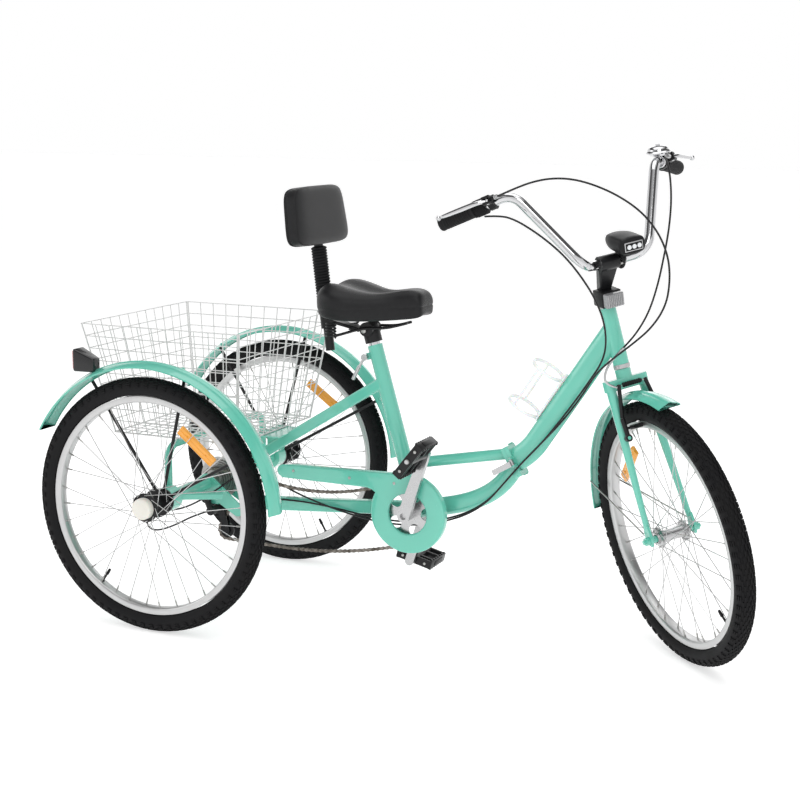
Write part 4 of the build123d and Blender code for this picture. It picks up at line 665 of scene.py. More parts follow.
def reflector_mesh(angle, radius, length):
    """Long amber tile with three rails, held across the spokes by two clips."""
    out = Vector((math.sin(angle), 0, math.cos(angle)))
    along = Vector((math.cos(angle), 0, -math.sin(angle)))
    place = facing(out * radius, Vector((0, -1, 0)), out)
    tile = block("tile", (length, 0.024, 0.009), place, 0.0028, 3)
    rails = [block("rail", (length - 0.008, 0.0022, 0.011), facing(out * (radius + s * 0.0090),
                   Vector((0, -1, 0)), out), 0.0008, 2) for s in (-1, 0, 1)]
    clips = [barrel("clip", out * radius + along * s * length * 0.28 - Vector((0, 0.007, 0)),
                    out * radius + along * s * length * 0.28 + Vector((0, 0.007, 0)), 0.003, 0.0006, 12)
             for s in (-1, 1)]
    return join("reflector", [tile, *rails, *clips])


VALVE_ANGLES = {"rear_right": math.radians(215), "rear_left": math.radians(150), "front": math.radians(125)}
REFLECTOR_ANGLES = {
    "rear_right": math.radians(39.5), "rear_left": math.radians(36), "front": math.radians(-54),
}


class TRICYCLE_OT_wheels(bpy.types.Operator):
    """Tyres, rims, hubs, spoke nipples, valves and reflectors of the three wheels"""
    bl_idname = "tricycle.wheels"
    bl_label = "Wheels"

    def execute(self, context):
        tyre, rim = tyre_mesh(), rim_mesh()
        for name, place, body, side in WHEELS:
            dress(copied(tyre, place, name + "_tread"), "tyre", body, [name + "_tyre"], 40)
            dress(copied(rim, place, name + "_rim_shell"), "rim", body, [name + "_rim"], 50)
            if side:
                hub = hub_mesh(0.025, 0.022, 0.034, 0.004)
                cap = cap_mesh(side)
                settle(cap, place)
                dress(cap, "cream", body)
                cap.name = name + "_cap"
            else:
                hub = hub_mesh(0.031, 0.015, 0.024, 0.004)
            settle(hub, place)
            hub.name = name + "_hub_shell"
            dress(hub, "satin" if side else "alloy", body, [name + "_hub"])
            circle, spacing = (0.030, 0.050) if side else (0.020, 0.062)
            spokes = wires(name + "_spoke_set", spoke_lines(circle, spacing, False), 0.00095, sides=2)
            settle(spokes, place)
            dress(spokes, "spoke", body, [name + "_spokes"])
            nipples = wires(name + "_nipples", spoke_lines(circle, spacing, True), 0.0019, sides=1)
            settle(nipples, place)
            dress(nipples, "zinc", body)
            valve = valve_mesh(VALVE_ANGLES[name])
            settle(valve, place)
            valve.name = name + "_valve"
            dress(valve, "rubber", body)
            tile = reflector_mesh(REFLECTOR_ANGLES[name], 0.198, 0.112)
            settle(tile, place)
            tile.name = name + "_reflector"
            dress(tile, "amber", body)
        for spare in (tyre, rim):
            bpy.data.objects.remove(spare)
        return {"FINISHED"}


# ---------------------------------------------------------------- fenders
def fender_mesh(radius, half, start, end):
    """Rolled strip with a raised rib along its crown and curled edges."""
    crown, skin = 0.009, 0.0014
    outside = []
    count = 14
    for i in range(-count, count + 1):
        across = i / count
        rise = radius - crown * across * across
        rib = 0.0022 if abs(across) < 0.16 else (0.0011 if abs(across) < 0.24 else 0)
        outside.append((rise + rib, across * half))
    edge = 0.0016
    left = [(outside[0][0] - 0.0018, -half - edge * 0.3), (outside[0][0] - 0.0034, -half + edge * 0.6)]
    right = [(r, -y) for r, y in reversed(left)]
    inside = [(r - skin, y * 0.97) for r, y in reversed(outside)]
    profile = outside + right + inside + left
    piece = lathe("fender", profile, 72, end - start, closed=True)
    piece.data.transform(Matrix.Rotation(math.radians(end), 4, "Y"))
    select(piece)
    bpy.ops.object.mode_set(mode="EDIT")
    bpy.ops.mesh.select_all(action="DESELECT")
    bpy.ops.mesh.select_mode(type="EDGE")
    bpy.ops.mesh.select_non_manifold()
    bpy.ops.mesh.edge_face_add()
    bpy.ops.object.mode_set(mode="OBJECT")
    outward(piece, 0.00001)
    return piece


class TRICYCLE_OT_fenders(bpy.types.Operator):
    """Three fenders with their ribs, rivets and stays"""
    bl_idname = "tricycle.fenders"
    bl_label = "Fenders"

    def execute(self, context):
        for side, name in ((-1, "right"), (1, "left")):
            axle = RIGHT_AXLE if side < 0 else LEFT_AXLE
            place = Matrix.Translation(axle)
            strip = fender_mesh(0.338, 0.030, -61, 87)
            settle(strip, place)
            strip.name = f"rear_fender_{name}_strip"
            dress(strip, "paint", "rear_frame_body", ["rear_fender_" + name], 45)
            rivets = []
            for angle in (-33, 14, 60):
                turn = math.radians(angle)
                out = Vector((math.sin(turn), 0, math.cos(turn)))
                spot = axle + out * 0.3335 + Vector((0, -side * 0.020, 0))
                rivets.append(barrel("rivet", spot - out * 0.001, spot + out * 0.004, 0.0042, 0.0014, 16))
            rivets = join(f"rear_fender_{name}_rivets", rivets)
            dress(rivets, "paint", "rear_frame_body")
        strip = fender_mesh(0.324, 0.027, -97, 8)
        settle(strip, TURN @ Matrix.Translation(at(1168, 0, 302)))
        strip.name = "front_fender_strip"
        rods = []
        for side in (1, -1):
            turn = math.radians(-84)
            top = at(1168 + 314 * math.sin(turn), side * 27.6, 302 + 314 * math.cos(turn))
            foot = at(1151.6, side * 60.6, 314)
            rods.append([turned(foot), turned(foot.lerp(top, 0.5)), turned(top)])
        stays = wires("front_fender_stays", rods, 0.0018)
        dress(stays, "zinc", "steering")
        dress(strip, "paint", "steering", ["front_fender"], 45)
        return {"FINISHED"}


# ---------------------------------------------------------------- basket
BASKET_FLOOR = (-192, 150, 188, 433)
BASKET_RIM = (-246, 186, 240, 702)


def basket_corners(level):
    """The basket's four corners at a share of its height."""
    low, high = BASKET_FLOOR, BASKET_RIM
    rear, front, half, height = [a + (b - a) * level for a, b in zip(low, high)]
    return [at(x, y, height) for x, y in ((rear, half), (rear, -half), (front, -half), (front, half))]


def panel_lines(corners_low, corners_high, columns, rows, gap):
    """Upright and level wires of one panel; the frame wires come separately."""
    (a, b), (c, d) = corners_low, corners_high
    across = (b - a).normalized()
    a, b, c, d = a + across * gap, b - across * gap, c + across * gap, d - across * gap
    thin = [[a.lerp(b, i / columns), c.lerp(d, i / columns)] for i in range(1, columns)]
    thin += [[a.lerp(c, j / rows), b.lerp(d, j / rows)] for j in range(1, rows)]
    edge = [a, b, d, c]
    return thin, edge


class TRICYCLE_OT_basket(bpy.types.Operator):
    """Welded wire basket: four leaning panels, a floor and thicker rim wires"""
    bl_idname = "tricycle.basket"
    bl_label = "Basket"

    def execute(self, context):
        low, high = basket_corners(0), basket_corners(1)
        thin, edges = [], []
        for i, columns in ((0, 12), (1, 11), (2, 12), (3, 11)):
            j = (i + 1) % 4
            lines, edge = panel_lines((low[i], low[j]), (high[i], high[j]), columns, 9, 0.003)
            thin += lines
            edges.append(edge)
        lines, edge = panel_lines((low[0], low[1]), (low[3], low[2]), 12, 11, 0.001)
        thin += lines
        edges.append(edge)
        mesh = wires("basket_mesh", thin, settings().basket_wire / 2, sides=2)
        border = wires("basket_border", edges, 0.0021, cyclic=True, sides=2)
        basket = join("basket_wires", [mesh, border])
        dress(basket, "wire", "rear_frame_body", ["basket"], 50)
        return {"FINISHED"}


# ---------------------------------------------------------------- saddle and backrest
SADDLE_STATIONS = (
    # along, half width, top, underside, depth of the centre groove
    (300, 52, 786, 752, 2), (304, 84, 799, 740, 5), (320, 106, 812, 732, 9), (348, 118, 812, 728, 14),
    (380, 115, 803, 726, 15), (412, 99, 795, 726, 13), (440, 80, 792, 727, 9), (470, 61, 795, 728, 5),
    (500, 50, 801, 731, 2), (526, 46, 803, 734, 0), (545, 43, 797, 738, 0), (552, 37, 784, 744, 0),
    (553, 24, 776, 750, 0),
)


def saddle_ring(along, half, top, low, groove):
    """One closed section of the saddle, from the middle of the top round to the underside."""
    shape = (
        (0.0, 0.0), (0.22, 0.0), (0.45, 0.0), (0.66, -0.10), (0.84, -0.36), (0.96, -0.78), (1.0, -1.25),
        (0.985, -2.1), (0.93, -2.9), (0.84, -3.15), (0.5, -3.0), (0.0, -2.9),
    )
    depth = (top - low) / 3.15
    ring = []
    for share, drop in shape:
        dip = groove * max(0.0, 1 - (share / 0.42) ** 2) if drop > -1 else 0
        ring.append((share * half, top + drop * depth - dip))
    points = [at(along, y, z) for y, z in ring]
    points += [at(along, -y, z) for y, z in reversed(ring[1:-1])]
    return points


def saddle_mesh():
    rings = [saddle_ring(*station) for station in SADDLE_STATIONS]
    count = len(rings[0])
    points = [p for ring in rings for p in ring]
    faces = []
    for i in range(len(rings) - 1):
        for j in range(count):
            k = (j + 1) % count
            faces.append((i * count + j, i * count + k, (i + 1) * count + k, (i + 1) * count + j))
    faces.append(tuple(range(count)))
    faces.append(tuple(reversed(range((len(rings) - 1) * count, len(rings) * count))))
    piece = new_piece("saddle_cushion", points, faces=faces)
    outward(piece)
    modify(piece, "SUBSURF", levels=3, render_levels=3)
    return piece


def pinch_seam(piece, height_of, depth, width):
    """Press a stitched channel into a cushion where height_of(point) crosses zero."""
    for vertex in piece.data.vertices:
        away = height_of(vertex.co)
        push = depth * math.exp(-(away / width) ** 2)
        if push > depth * 0.02:
            vertex.co -= vertex.normal * push


class TRICYCLE_OT_saddle(bpy.types.Operator):
    """Wide padded saddle with a centre groove and a stitched edge, on coil springs"""
    bl_idname = "tricycle.saddle"
    bl_label = "Saddle"

    def execute(self, context):
        saddle = saddle_mesh()
        edge = at(0, 0, 757).z
        pinch_seam(saddle, lambda p: p.z - edge - 0.06 * (p.x - at(430, 0, 0).x), 0.0016, 0.0022)
        dress(saddle, "vinyl", "seat", ["saddle"], 60)
        springs = []
        for side in (1, -1):
            coil = []
            for i in range(5 * 16 + 1):
                turn = 2 * math.pi * i / 16
                rise = 683 + 36 * i / 80
                coil.append(at(333 + 11 * math.cos(turn), side * 62 + 11 * math.sin(turn), rise))
            rail = [at(506, side * 12, 722), at(480, side * 17, 714), at(452, side * 28, 708),
                    at(400, side * 31, 706), at(352, side * 44, 690), at(338, side * 60, 686)]
            springs += [wires("coil", [coil], 0.0022, sides=2), wires("rail", [rail], 0.0034, smooth=True)]
        undercarriage = join("saddle_springs_wire", springs)
        dress(undercarriage, "satin", "seat", ["saddle_springs"], 50)
        bolts = [nut("clamp_nut", at(402, side * 28, 700), Vector((0, 1, 0)), 0.014, 0.007)
                 for side in (1, -1)]
        dress(join("saddle_clamp_nuts", bolts), "zinc", "seat")
        return {"FINISHED"}


class TRICYCLE_OT_backrest(bpy.types.Operator):
    """Padded backrest with a stitched border, and its ribbed bellows"""
    bl_idname = "tricycle.backrest"
    bl_label = "Backrest"

    def execute(self, context):
        centre = at(262, 0, 963)
        lean = Matrix.Translation(centre) @ Matrix.Rotation(math.radians(-8), 4, "Y")
        deselect()
        bpy.ops.mesh.primitive_cube_add(size=1)
        pad = bpy.context.object
        pad.name = "backrest_cushion"
        bpy.ops.object.mode_set(mode="EDIT")
        bpy.ops.mesh.subdivide(number_cuts=11)
        bpy.ops.object.mode_set(mode="OBJECT")
        depth, width, height = 0.046, 0.258, 0.138
        for vertex in pad.data.vertices:
            x, y, z = [2 * c for c in vertex.co]
            power = 6.0
            size = (abs(y) ** power + abs(z) ** power) ** (1 / power)
            square = max(abs(y), abs(z))
            round_in = square / size if size > 1e-6 else 1
            y, z = y * round_in, z * round_in
            crown = 1 - 0.30 * min(1, square) ** 8
            taper = 1 - 0.06 * z
            vertex.co = Vector((x * depth / 2 * crown, y * taper * width / 2, z * height / 2))
        pad.data.transform(lean)
        outward(pad)
        modify(pad, "SUBSURF", levels=2, render_levels=2)
        inverse = lean.inverted()
        pinch_seam(pad, lambda p: (inverse @ p).x + 0.009, 0.0020, 0.0016)
        dress(pad, "vinyl", "backrest", ["backrest_pad"], 70)
        foot = at(292, 0, 712)
        profile = [(0.0115, 0.016)]
        ribs = 24
        for i in range(ribs):
            start = 0.018 + 0.160 * i / ribs
            step = 0.160 / ribs
            profile += [(0.0162, start), (0.0186, start + step * 0.25), (0.0190, start + step * 0.5),
                        (0.0186, start + step * 0.75), (0.0162, start + step)]
        profile.append((0.0115, 0.180))
        sleeve = lathe("backrest_bellows", profile, 40)
        settle(sleeve, facing(foot, BACK_AXIS, Vector((0, 1, 0))) @ Matrix.Rotation(math.radians(90), 4, "X"))
        dress(sleeve, "rubber", "backrest", ["backrest_sleeve"], 80)
        return {"FINISHED"}


# ---------------------------------------------------------------- handlebar fittings, modelled straight ahead
BAR_END = (827, 298, 1018)
BAR_TOP = (943, 175, 1074)


def bar_point(from_end, side):
    """Point on a grip's axis in from the bar's end, and the direction towards the end."""
    end = at(BAR_END[0], side * BAR_END[1], BAR_END[2])
    top = at(BAR_TOP[0], side * BAR_TOP[1], BAR_TOP[2])
    along = (end - top).normalized()
    return end - along * from_end, along


def lever_frame(side):
    """Pivot of a brake lever with the directions of its blade, its reach and its axis."""
    clamp, out = bar_point(0.128, side)
    forward = Vector((0.86, 0, 0.5))
    forward = (forward - out * forward.dot(out)).normalized()
    return clamp, clamp + forward * 0.026, out, forward, forward.cross(out).normalized()


def grip_mesh(side, length):
    """Rubber grip: finger ribs, a flange inside and a rounded end."""
    profile = [(0.0112, length), (0.0175, length), (0.0178, length - 0.003), (0.0165, length - 0.005)]
    count = int((length - 0.012) / 0.006)
    for i in range(count):
        start = length - 0.006 - i * 0.006
        profile += [(0.0163, start), (0.0163, start - 0.0032), (0.0153, start - 0.0040),
                    (0.0153, start - 0.0054)]
    profile += [(0.0164, 0.004), (0.0166, -0.001), (0.0150, -0.0038), (0.008, -0.0044), (0, -0.0044)]
    piece = lathe("grip", profile, 40)
    end, along = bar_point(0, side)
    settle(piece, TURN @ facing(end, -along) @ Matrix.Rotation(math.radians(90), 4, "X"))
    return piece


def lever_blade(side):
    """Forged blade that sweeps out from the pivot and ends in a ball."""
    _, pivot, out, forward, axis = lever_frame(side)
    elbow = pivot + out * 0.024 + forward * 0.012
    tip = elbow + out * 0.088 + forward * 0.006
    line = [pivot, pivot.lerp(elbow, 0.6), elbow, elbow.lerp(tip, 0.35) - forward * 0.001,
            elbow.lerp(tip, 0.7) - forward * 0.0005, tip]
    halves = (0.0060, 0.0046, 0.0052, 0.0058, 0.0050, 0.0040)
    points, faces = [], []
    sides = 12
    for place, half in zip(line, halves):
        for i in range(sides):
            turn = 2 * math.pi * i / sides
            points.append(place + axis * half * math.cos(turn) + forward * 0.0031 * math.sin(turn))
    for i in range(len(line) - 1):
        for j in range(sides):
            k = (j + 1) % sides
            faces.append((i * sides + j, i * sides + k, (i + 1) * sides + k, (i + 1) * sides + j))
    faces += [tuple(range(sides)), tuple(range((len(line) - 1) * sides, len(line) * sides))]
    blade = new_piece("blade", points, faces=faces)
    outward(blade)
    modify(blade, "SUBSURF", levels=2, render_levels=2)
    ball = barrel("ball", tip - out * 0.005, tip + out * 0.006, 0.0062, 0.0052, 20)
    pin = barrel("pin", pivot - axis * 0.0095, pivot + axis * 0.0095, 0.0034, 0.0008, 16)
    lever = join("lever", [blade, ball, pin])
    settle(lever, TURN)
    return lever


class TRICYCLE_OT_controls(bpy.types.Operator):
    """Grips, twist shifter, brake levers with their clamp bolts and adjusters, bell and headlight"""
    bl_idname = "tricycle.controls"
    bl_label = "Controls"

    def execute(self, context):
        left = grip_mesh(1, 0.118)
        right = grip_mesh(-1, 0.084)
        dress(join("grip_pair", [left, right]), "rubber", "steering", ["grips"], 30)
        self.shifter()
        for side, name in ((-1, "right"), (1, "left")):
            lever = lever_blade(side)
            lever.name = name + "_lever_blade"
            dress(lever, "chrome", name + "_lever", [name + "_brake_lever"], 50)
            _, pivot, out, forward, axis = lever_frame(side)
            clamp, _ = bar_point(0.128, side)
            bolts = [barrel("bolt", clamp - forward * 0.013 + axis * s * 0.009,
                            clamp - forward * 0.019 + axis * s * 0.009, 0.0036, 0.001, 12) for s in (-1, 1)]
            adjuster = [barrel("adjuster", pivot - out * (0.018 + i * 0.0032),
                               pivot - out * (0.0204 + i * 0.0032), 0.0052, 0.0005, 14) for i in range(3)]
            detail = join(name + "_lever_bolts", bolts + adjuster)
            settle(detail, TURN)
            dress(detail, "alloy", "steering")
        self.bell()
        self.headlight()
        return {"FINISHED"}

    def shifter(self):
        profile = [(0.0114, 0.0855)]
        for i in range(9):
            start = 0.0865 + 0.0027 * i
            profile += [(0.0178, start), (0.0188, start + 0.0006), (0.0188, start + 0.0018),
                        (0.0178, start + 0.0024)]
        profile += [(0.0186, 0.1125), (0.0114, 0.1135)]
        ring = lathe("shifter_ring", profile, 48)
        end, along = bar_point(0, -1)
        settle(ring, TURN @ facing(end, -along) @ Matrix.Rotation(math.radians(90), 4, "X"))
        dress(ring, "rubber", "shifter", ["twist_shifter"], 30)

    def bell(self):
        middle, _ = bar_point(0.1425, 1)
        base = middle + Vector((0, 0, 0.022))
        profile = [(0.004, -0.006), (0.0215, -0.005), (0.0245, -0.002), (0.0270, 0.0005), (0.0270, 0.0030),
                   (0.0245, 0.0048)]
        for i in range(0, 8):
            bend = math.radians(90 * i / 7)
            profile.append((0.0225 * math.cos(bend) + 0.0004, 0.006 + 0.0105 * math.sin(bend)))
        dome = lathe("bell_dome", profile, 64)
        place = Matrix.Translation(base) @ Matrix.Rotation(math.radians(90), 4, "X")
        settle(dome, TURN @ place)
        knob = barrel("bell_nut", turned(base + Vector((0, 0, 0.015))), turned(base + Vector((0, 0, 0.0195))),
                      0.0052, 0.0012, 20)
        strap = wires("bell_strap", [[turned(middle + Vector((0, 0, 0.009))), turned(base)]], 0.0050, sides=3)
        bell = join("bell_shell", [dome, knob, strap])
        dress(bell, "chrome", "steering", ["bell"], 40)
        _, along = bar_point(0.1425, 1)
        clip = wires("bell_clip", [[turned(middle + (Vector((0, 0, 1)) * math.cos(t) +
                     along.cross(Vector((0, 0, 1))).normalized() * math.sin(t)) * 0.0128)
                     for t in [2 * math.pi * i / 24 for i in range(24)]]], 0.0020, cyclic=True)
        dress(clip, "chrome", "steering")

    def headlight(self):
        x, y, z = 1005 + 26, 30, 893 + 42
        deselect()
        bpy.ops.mesh.primitive_cube_add(size=1)
        lamp = bpy.context.object
        bpy.ops.object.mode_set(mode="EDIT")
        bpy.ops.mesh.subdivide(number_cuts=5)
        bpy.ops.object.mode_set(mode="OBJECT")
        for vertex in lamp.data.vertices:
            u, v, w = [2 * c for c in vertex.co]
            nose = 1 - 0.30 * max(0.0, -u) ** 2
            v2 = v * (1 - 0.14 * w * w) * nose
            w2 = w * (1 - 0.20 * v * v) * (1 - 0.30 * max(0.0, -u) ** 2)
            vertex.co = Vector((u * 0.043 * (1 - 0.04 * w * w), v2 * 0.0315,
                                w2 * 0.0195 + 0.004 * (1 - u) * 0.5))
        lamp.name = "headlight_shell"
        lamp.data.transform(Matrix.Translation(at(x, y, z)))
        outward(lamp)
        modify(lamp, "SUBSURF", levels=2, render_levels=2)
        settle(lamp, TURN)
        foot = block("lamp_foot", (0.026, 0.019, 0.020), TURN @ Matrix.Translation(at(1019, 34, 914)),
                     0.003, 3)
        ring = []
        for i in range(32):
            t = 2 * math.pi * i / 32
            ring.append(turned(at(1005 + 16.5 * math.cos(t), 30.5, 893 + 16.5 * math.sin(t))))
        strap = wires("lamp_strap", [ring], 0.0046, cyclic=True)
        shell = join("headlight_body", [lamp, foot, strap])
        dress(shell, "plastic", "steering", ["headlight"], 50)
        face = at(x + 43.0, y, z - 0.5)
        frame_ring = block("lamp_frame", (0.0022, 0.044, 0.0200), TURN @ Matrix.Translation(face), 0.0009, 3)
        dress(frame_ring, "alloy", "steering")
        window = block("lamp_window", (0.0026, 0.040, 0.0160),
                       TURN @ Matrix.Translation(face + Vector((0.0007, 0, 0))), 0.0008, 2)
        dress(window, "plastic", "steering")
        bulbs = []
        for s in (-1, 0, 1):
            spot = face + Vector((0.0016, s * 0.0124, 0))
            bulbs.append(barrel("led", turned(spot), turned(spot + Vector((0.0028, 0, 0))),
                                0.0052, 0.0018, 20))
        dress(join("lamp_leds", bulbs), "lamp", "steering")
        bolt = barrel("lamp_bolt", turned(at(1021, 36, 889)), turned(at(1021, 22, 889)), 0.0034, 0.001, 14)
        dress(bolt, "zinc", "steering")


# ---------------------------------------------------------------- cables
FRONT_BRAKE_ROUTE = (
    (972, 184, 1088), (1010, 166, 1086), (1040, 154, 1052), (1054, 142, 1000), (1060, 126, 944),
    (1062, 106, 888), (1065, 84, 834), (1066, 56, 780), (1060, 24, 738), (1052, -8, 710),
    (1048, -38, 688), (1050, -60, 664), (1056, -64, 640),
)
REAR_BRAKE_ROUTE = (
    (822, -181, 1048), (866, -196, 1064), (912, -203, 1074), (960, -196, 1073), (1008, -176, 1058),
    (1052, -150, 1034), (1090, -124, 1002), (1118, -100, 960), (1136, -86, 912), (1141, -82, 862),
    (1135, -84, 808), (1108, -90, 760), (1068, -98, 722), (1026, -98, 688), (982, -74, 648),
    (943, -38, 592), (899, -26.5, 532), (852, -25.5, 478), (806, -26, 428), (764, -26.5, 376),
    (722, -24, 325), (672, -23, 290), (618, -22, 268), (572, -21, 256), (530, -20, 249),
    (488, -19.5, 246), (440, -19, 247), (388, -19.5, 252), (334, -20, 259), (280, -20.5, 264),
    (226, -20.5, 267),
)
SHIFT_ROUTE = (
    (790, -165, 990), (828, -186, 984), (866, -198, 968), (904, -190, 942), (938, -170, 908),
    (966, -146, 866), (988, -118, 820), (1002, -92, 770), (1003, -68, 718), (990, -50, 672),
    (956, -37, 622), (922, -33.5, 572), (886, -32.5, 522), (848, -32, 472), (802, -32.5, 422),
    (760, -32, 370), (718, -30, 319), (668, -29, 284), (612, -28.5, 262), (570, -28, 250),
    (528, -27, 243), (486, -26.5, 240), (438, -26, 241), (386, -26.5, 248), (334, -27, 258),
    (284, -28, 270), (232, -30, 286), (190, -34, 304), (150, -42, 323), (112, -60, 334),
    (82, -82, 326), (50, -100, 300), (4, -109, 266), (-46, -112, 240), (-84, -113, 230),
    (-116, -113, 224), (-140, -112, 214), (-156, -112, 198), (-154, -111, 180), (-138, -110, 172),
    (-112, -108, 176), (-72, -104, 194), (-30, -98, 218),
)


def cable_line(route, start, end):
    return [start] + [at(*point) for point in route] + [end]


class TRICYCLE_OT_cables(bpy.types.Operator):
    """Brake and shift cables, each one smooth line from its lever to its end"""
    bl_idname = "tricycle.cables"
    bl_label = "Cables"

    def execute(self, context):
        radius = settings().cable_radius
        _, pivot, out, _, _ = lever_frame(1)
        start = pivot - out * 0.0263
        front = [turned(p) for p in cable_line(FRONT_BRAKE_ROUTE, start, at(1061, -39, 628))]
        cable = wires("front_brake_line", [front], radius, smooth=True)
        noodle = wires("front_brake_noodle", [front[-5:]], radius * 1.25, smooth=True)
        dress(noodle, "alloy", "steering", sharp=60)
        inner = wires("front_brake_wire", [[turned(at(1061, -29, 630)), turned(at(1061, 29, 630))]], 0.0009)
        folds = [(0.0056 - 0.0009 * (i % 2), -0.022 + 0.0028 * i) for i in range(16)]
        boot = lathe("boot", [(0.001, -0.024), (0.0052, -0.024), *folds, (0.0030, 0.023), (0.001, 0.023)], 24)
        settle(boot, TURN @ Matrix.Translation(at(1061, 0, 630)))
        dress(boot, "rubber", "steering")
        dress(inner, "spoke", "steering")
        dress(cable, "cable", "steering", ["front_brake_cable"], 60)
        _, pivot, out, _, _ = lever_frame(-1)
        brake = cable_line(REAR_BRAKE_ROUTE, turned(pivot - out * 0.0263), at(170.3, -20, 265))
        ring, _ = bar_point(0.101, -1)
        shift = cable_line(SHIFT_ROUTE, turned(ring) + Vector((0.0076, 0, -0.0200)), at(8.7, -94, 233))
        for name, line, split in (("rear_brake", brake, 17), ("shift", shift, 12)):
            whole = wires(name + "_line", [line], radius, smooth=True)
            self.halves(whole, name, line[split])
        return {"FINISHED"}

    def halves(self, whole, name, cut):
        """Cut a cable across the main tube into a front half and a rear half."""
        along = Vector((0.64, 0, 0.77))
        rear = copied(whole, Matrix.Identity(4), name + "_line_rear")
        for piece, keep_front in ((whole, True), (rear, False)):
            select(piece)
            bpy.ops.object.mode_set(mode="EDIT")
            bpy.ops.mesh.select_all(action="SELECT")
            bpy.ops.mesh.bisect(plane_co=cut, plane_no=along, use_fill=True, clear_inner=keep_front,
                                clear_outer=not keep_front)
            bpy.ops.object.mode_set(mode="OBJECT")
        node = name + "_cable"
        dress(whole, "cable", None, [node], 60)
        at(905, 0, 560)
        at(1015, -90, 760)
        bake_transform(whole)
        dress(rear, "cable", None, [node], 60)
        at(720, 0, 360)
        at(812, 0, 470)
        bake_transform(rear)


# ---------------------------------------------------------------- chain
def tangent_loop(circles):
    """Straight runs between circles (centre, radius, turn) as pairs of leaving and arriving points."""
    runs = []
    for here, there in zip(circles, circles[1:] + circles[:1]):
        (c1, r1, s1), (c2, r2, s2) = here, there
        gap = (c2[0] - c1[0], c2[1] - c1[1])
        heading = math.atan2(gap[1], gap[0]) + math.asin((s1 * r1 - s2 * r2) / math.hypot(*gap))
        normal = (math.sin(heading), -math.cos(heading))
        runs.append(((c1[0] + s1 * r1 * normal[0], c1[1] + s1 * r1 * normal[1]),
                     (c2[0] + s2 * r2 * normal[0], c2[1] + s2 * r2 * normal[1])))
    return runs


def chain_line():
    """Closely spaced points along the chain's pitch line, in millimetres."""
    def pitch(teeth):
        return 12.7 / (2 * math.sin(math.pi / teeth))
    circles = [
        ((532.0, 278.0), pitch(38), 1), ((270.0, 863.0), 560.0, -1), ((0.0, 302.0), pitch(14), 1),
        ((22.0, 238.0), pitch(11), -1), ((38.0, 178.0), pitch(11), 1), ((215.0, 1203.0), 1050.0, 1),
    ]
    runs = tangent_loop(circles)
    line = []
    for i, (centre, radius, turn) in enumerate(circles):
        arrive, leave = runs[i - 1][1], runs[i][0]
        first = math.atan2(arrive[1] - centre[1], arrive[0] - centre[0])
        last = math.atan2(leave[1] - centre[1], leave[0] - centre[0])
        swept = (last - first) * turn % (2 * math.pi)
        steps = max(2, int(radius * swept / 2))
        for k in range(steps + 1):
            angle = first + turn * swept * k / steps
            line.append((centre[0] + radius * math.cos(angle), centre[1] + radius * math.sin(angle)))
    return line + line[:1]


def link_mesh(outer):
    """Two waisted side plates and a roller, along X from 0 to one pitch."""
    pitch = settings().chain_pitch
    spread = 0.0029 if outer else 0.0019
    plates = []
    for side in (-1, 1):
        outline = []
        for centre, start in ((pitch, -80), (0, 100)):
            for i in range(5):
                turn = math.radians(start + 40 * i)
                outline.append((centre + 0.0041 * math.cos(turn), 0.0041 * math.sin(turn)))
            outline.append((pitch / 2, 0.0028 if centre else -0.0028))
        low, high = side * spread - 0.0005, side * spread + 0.0005
        count = len(outline)
        points = [(x, low, z) for x, z in outline] + [(x, high, z) for x, z in outline]
        faces = [tuple(range(count)), tuple(reversed(range(count, 2 * count)))]
        faces += [(i, (i + 1) % count, count + (i + 1) % count, count + i) for i in range(count)]
        plates.append(new_piece("plate", points, faces=faces))
    half = 0.0042 if outer else 0.0016
    width = 0.0016 if outer else 0.0034
    roller = barrel("roller", Vector((0, -half, 0)), Vector((0, half, 0)), width, 0, 8)
    link = join("link", plates + [roller])
    outward(link)
    return link


class TRICYCLE_OT_chain(bpy.types.Operator):
    """Roller chain of alternate wide and narrow links along the drive line"""
    bl_idname = "tricycle.chain"
    bl_label = "Chain"

    def execute(self, context):
        line = chain_line()
        lengths = [math.hypot(b[0] - a[0], b[1] - a[1]) for a, b in zip(line, line[1:])]
        total = sum(lengths)
        count = 2 * round(total / 12.7 / 2)
        step = total / count
        spots, reached, i = [], 0.0, 0
        for n in range(count + 1):
            target = min(n * step, total - 1e-6)
            while reached + lengths[i] < target:
                reached += lengths[i]
                i += 1
            share = (target - reached) / lengths[i]
            spots.append((line[i][0] + (line[i + 1][0] - line[i][0]) * share,
                          line[i][1] + (line[i + 1][1] - line[i][1]) * share))
        masters = [link_mesh(True), link_mesh(False)]
        links = []
        for n in range(count):
            (x0, z0), (x1, z1) = spots[n], spots[n + 1]
            turn = Matrix.Rotation(-math.atan2(z1 - z0, x1 - x0), 4, "Y")
            links.append(copied(masters[n % 2], Matrix.Translation(at(x0, -46, z0)) @ turn))
        for master in masters:
            bpy.data.objects.remove(master)
        dress(join("chain_links", links), "chain", "rear_frame_body", ["chain"], 40)
        return {"FINISHED"}


# ---------------------------------------------------------------- chainguard
GUARD_RADIUS = 94.0
GUARD_HOLE = 49.0
GUARD_REACH = 345.0
GUARD_FACE = -62.0
GUARD_SKIRT = 17.0
GUARD_LIP = 5.0


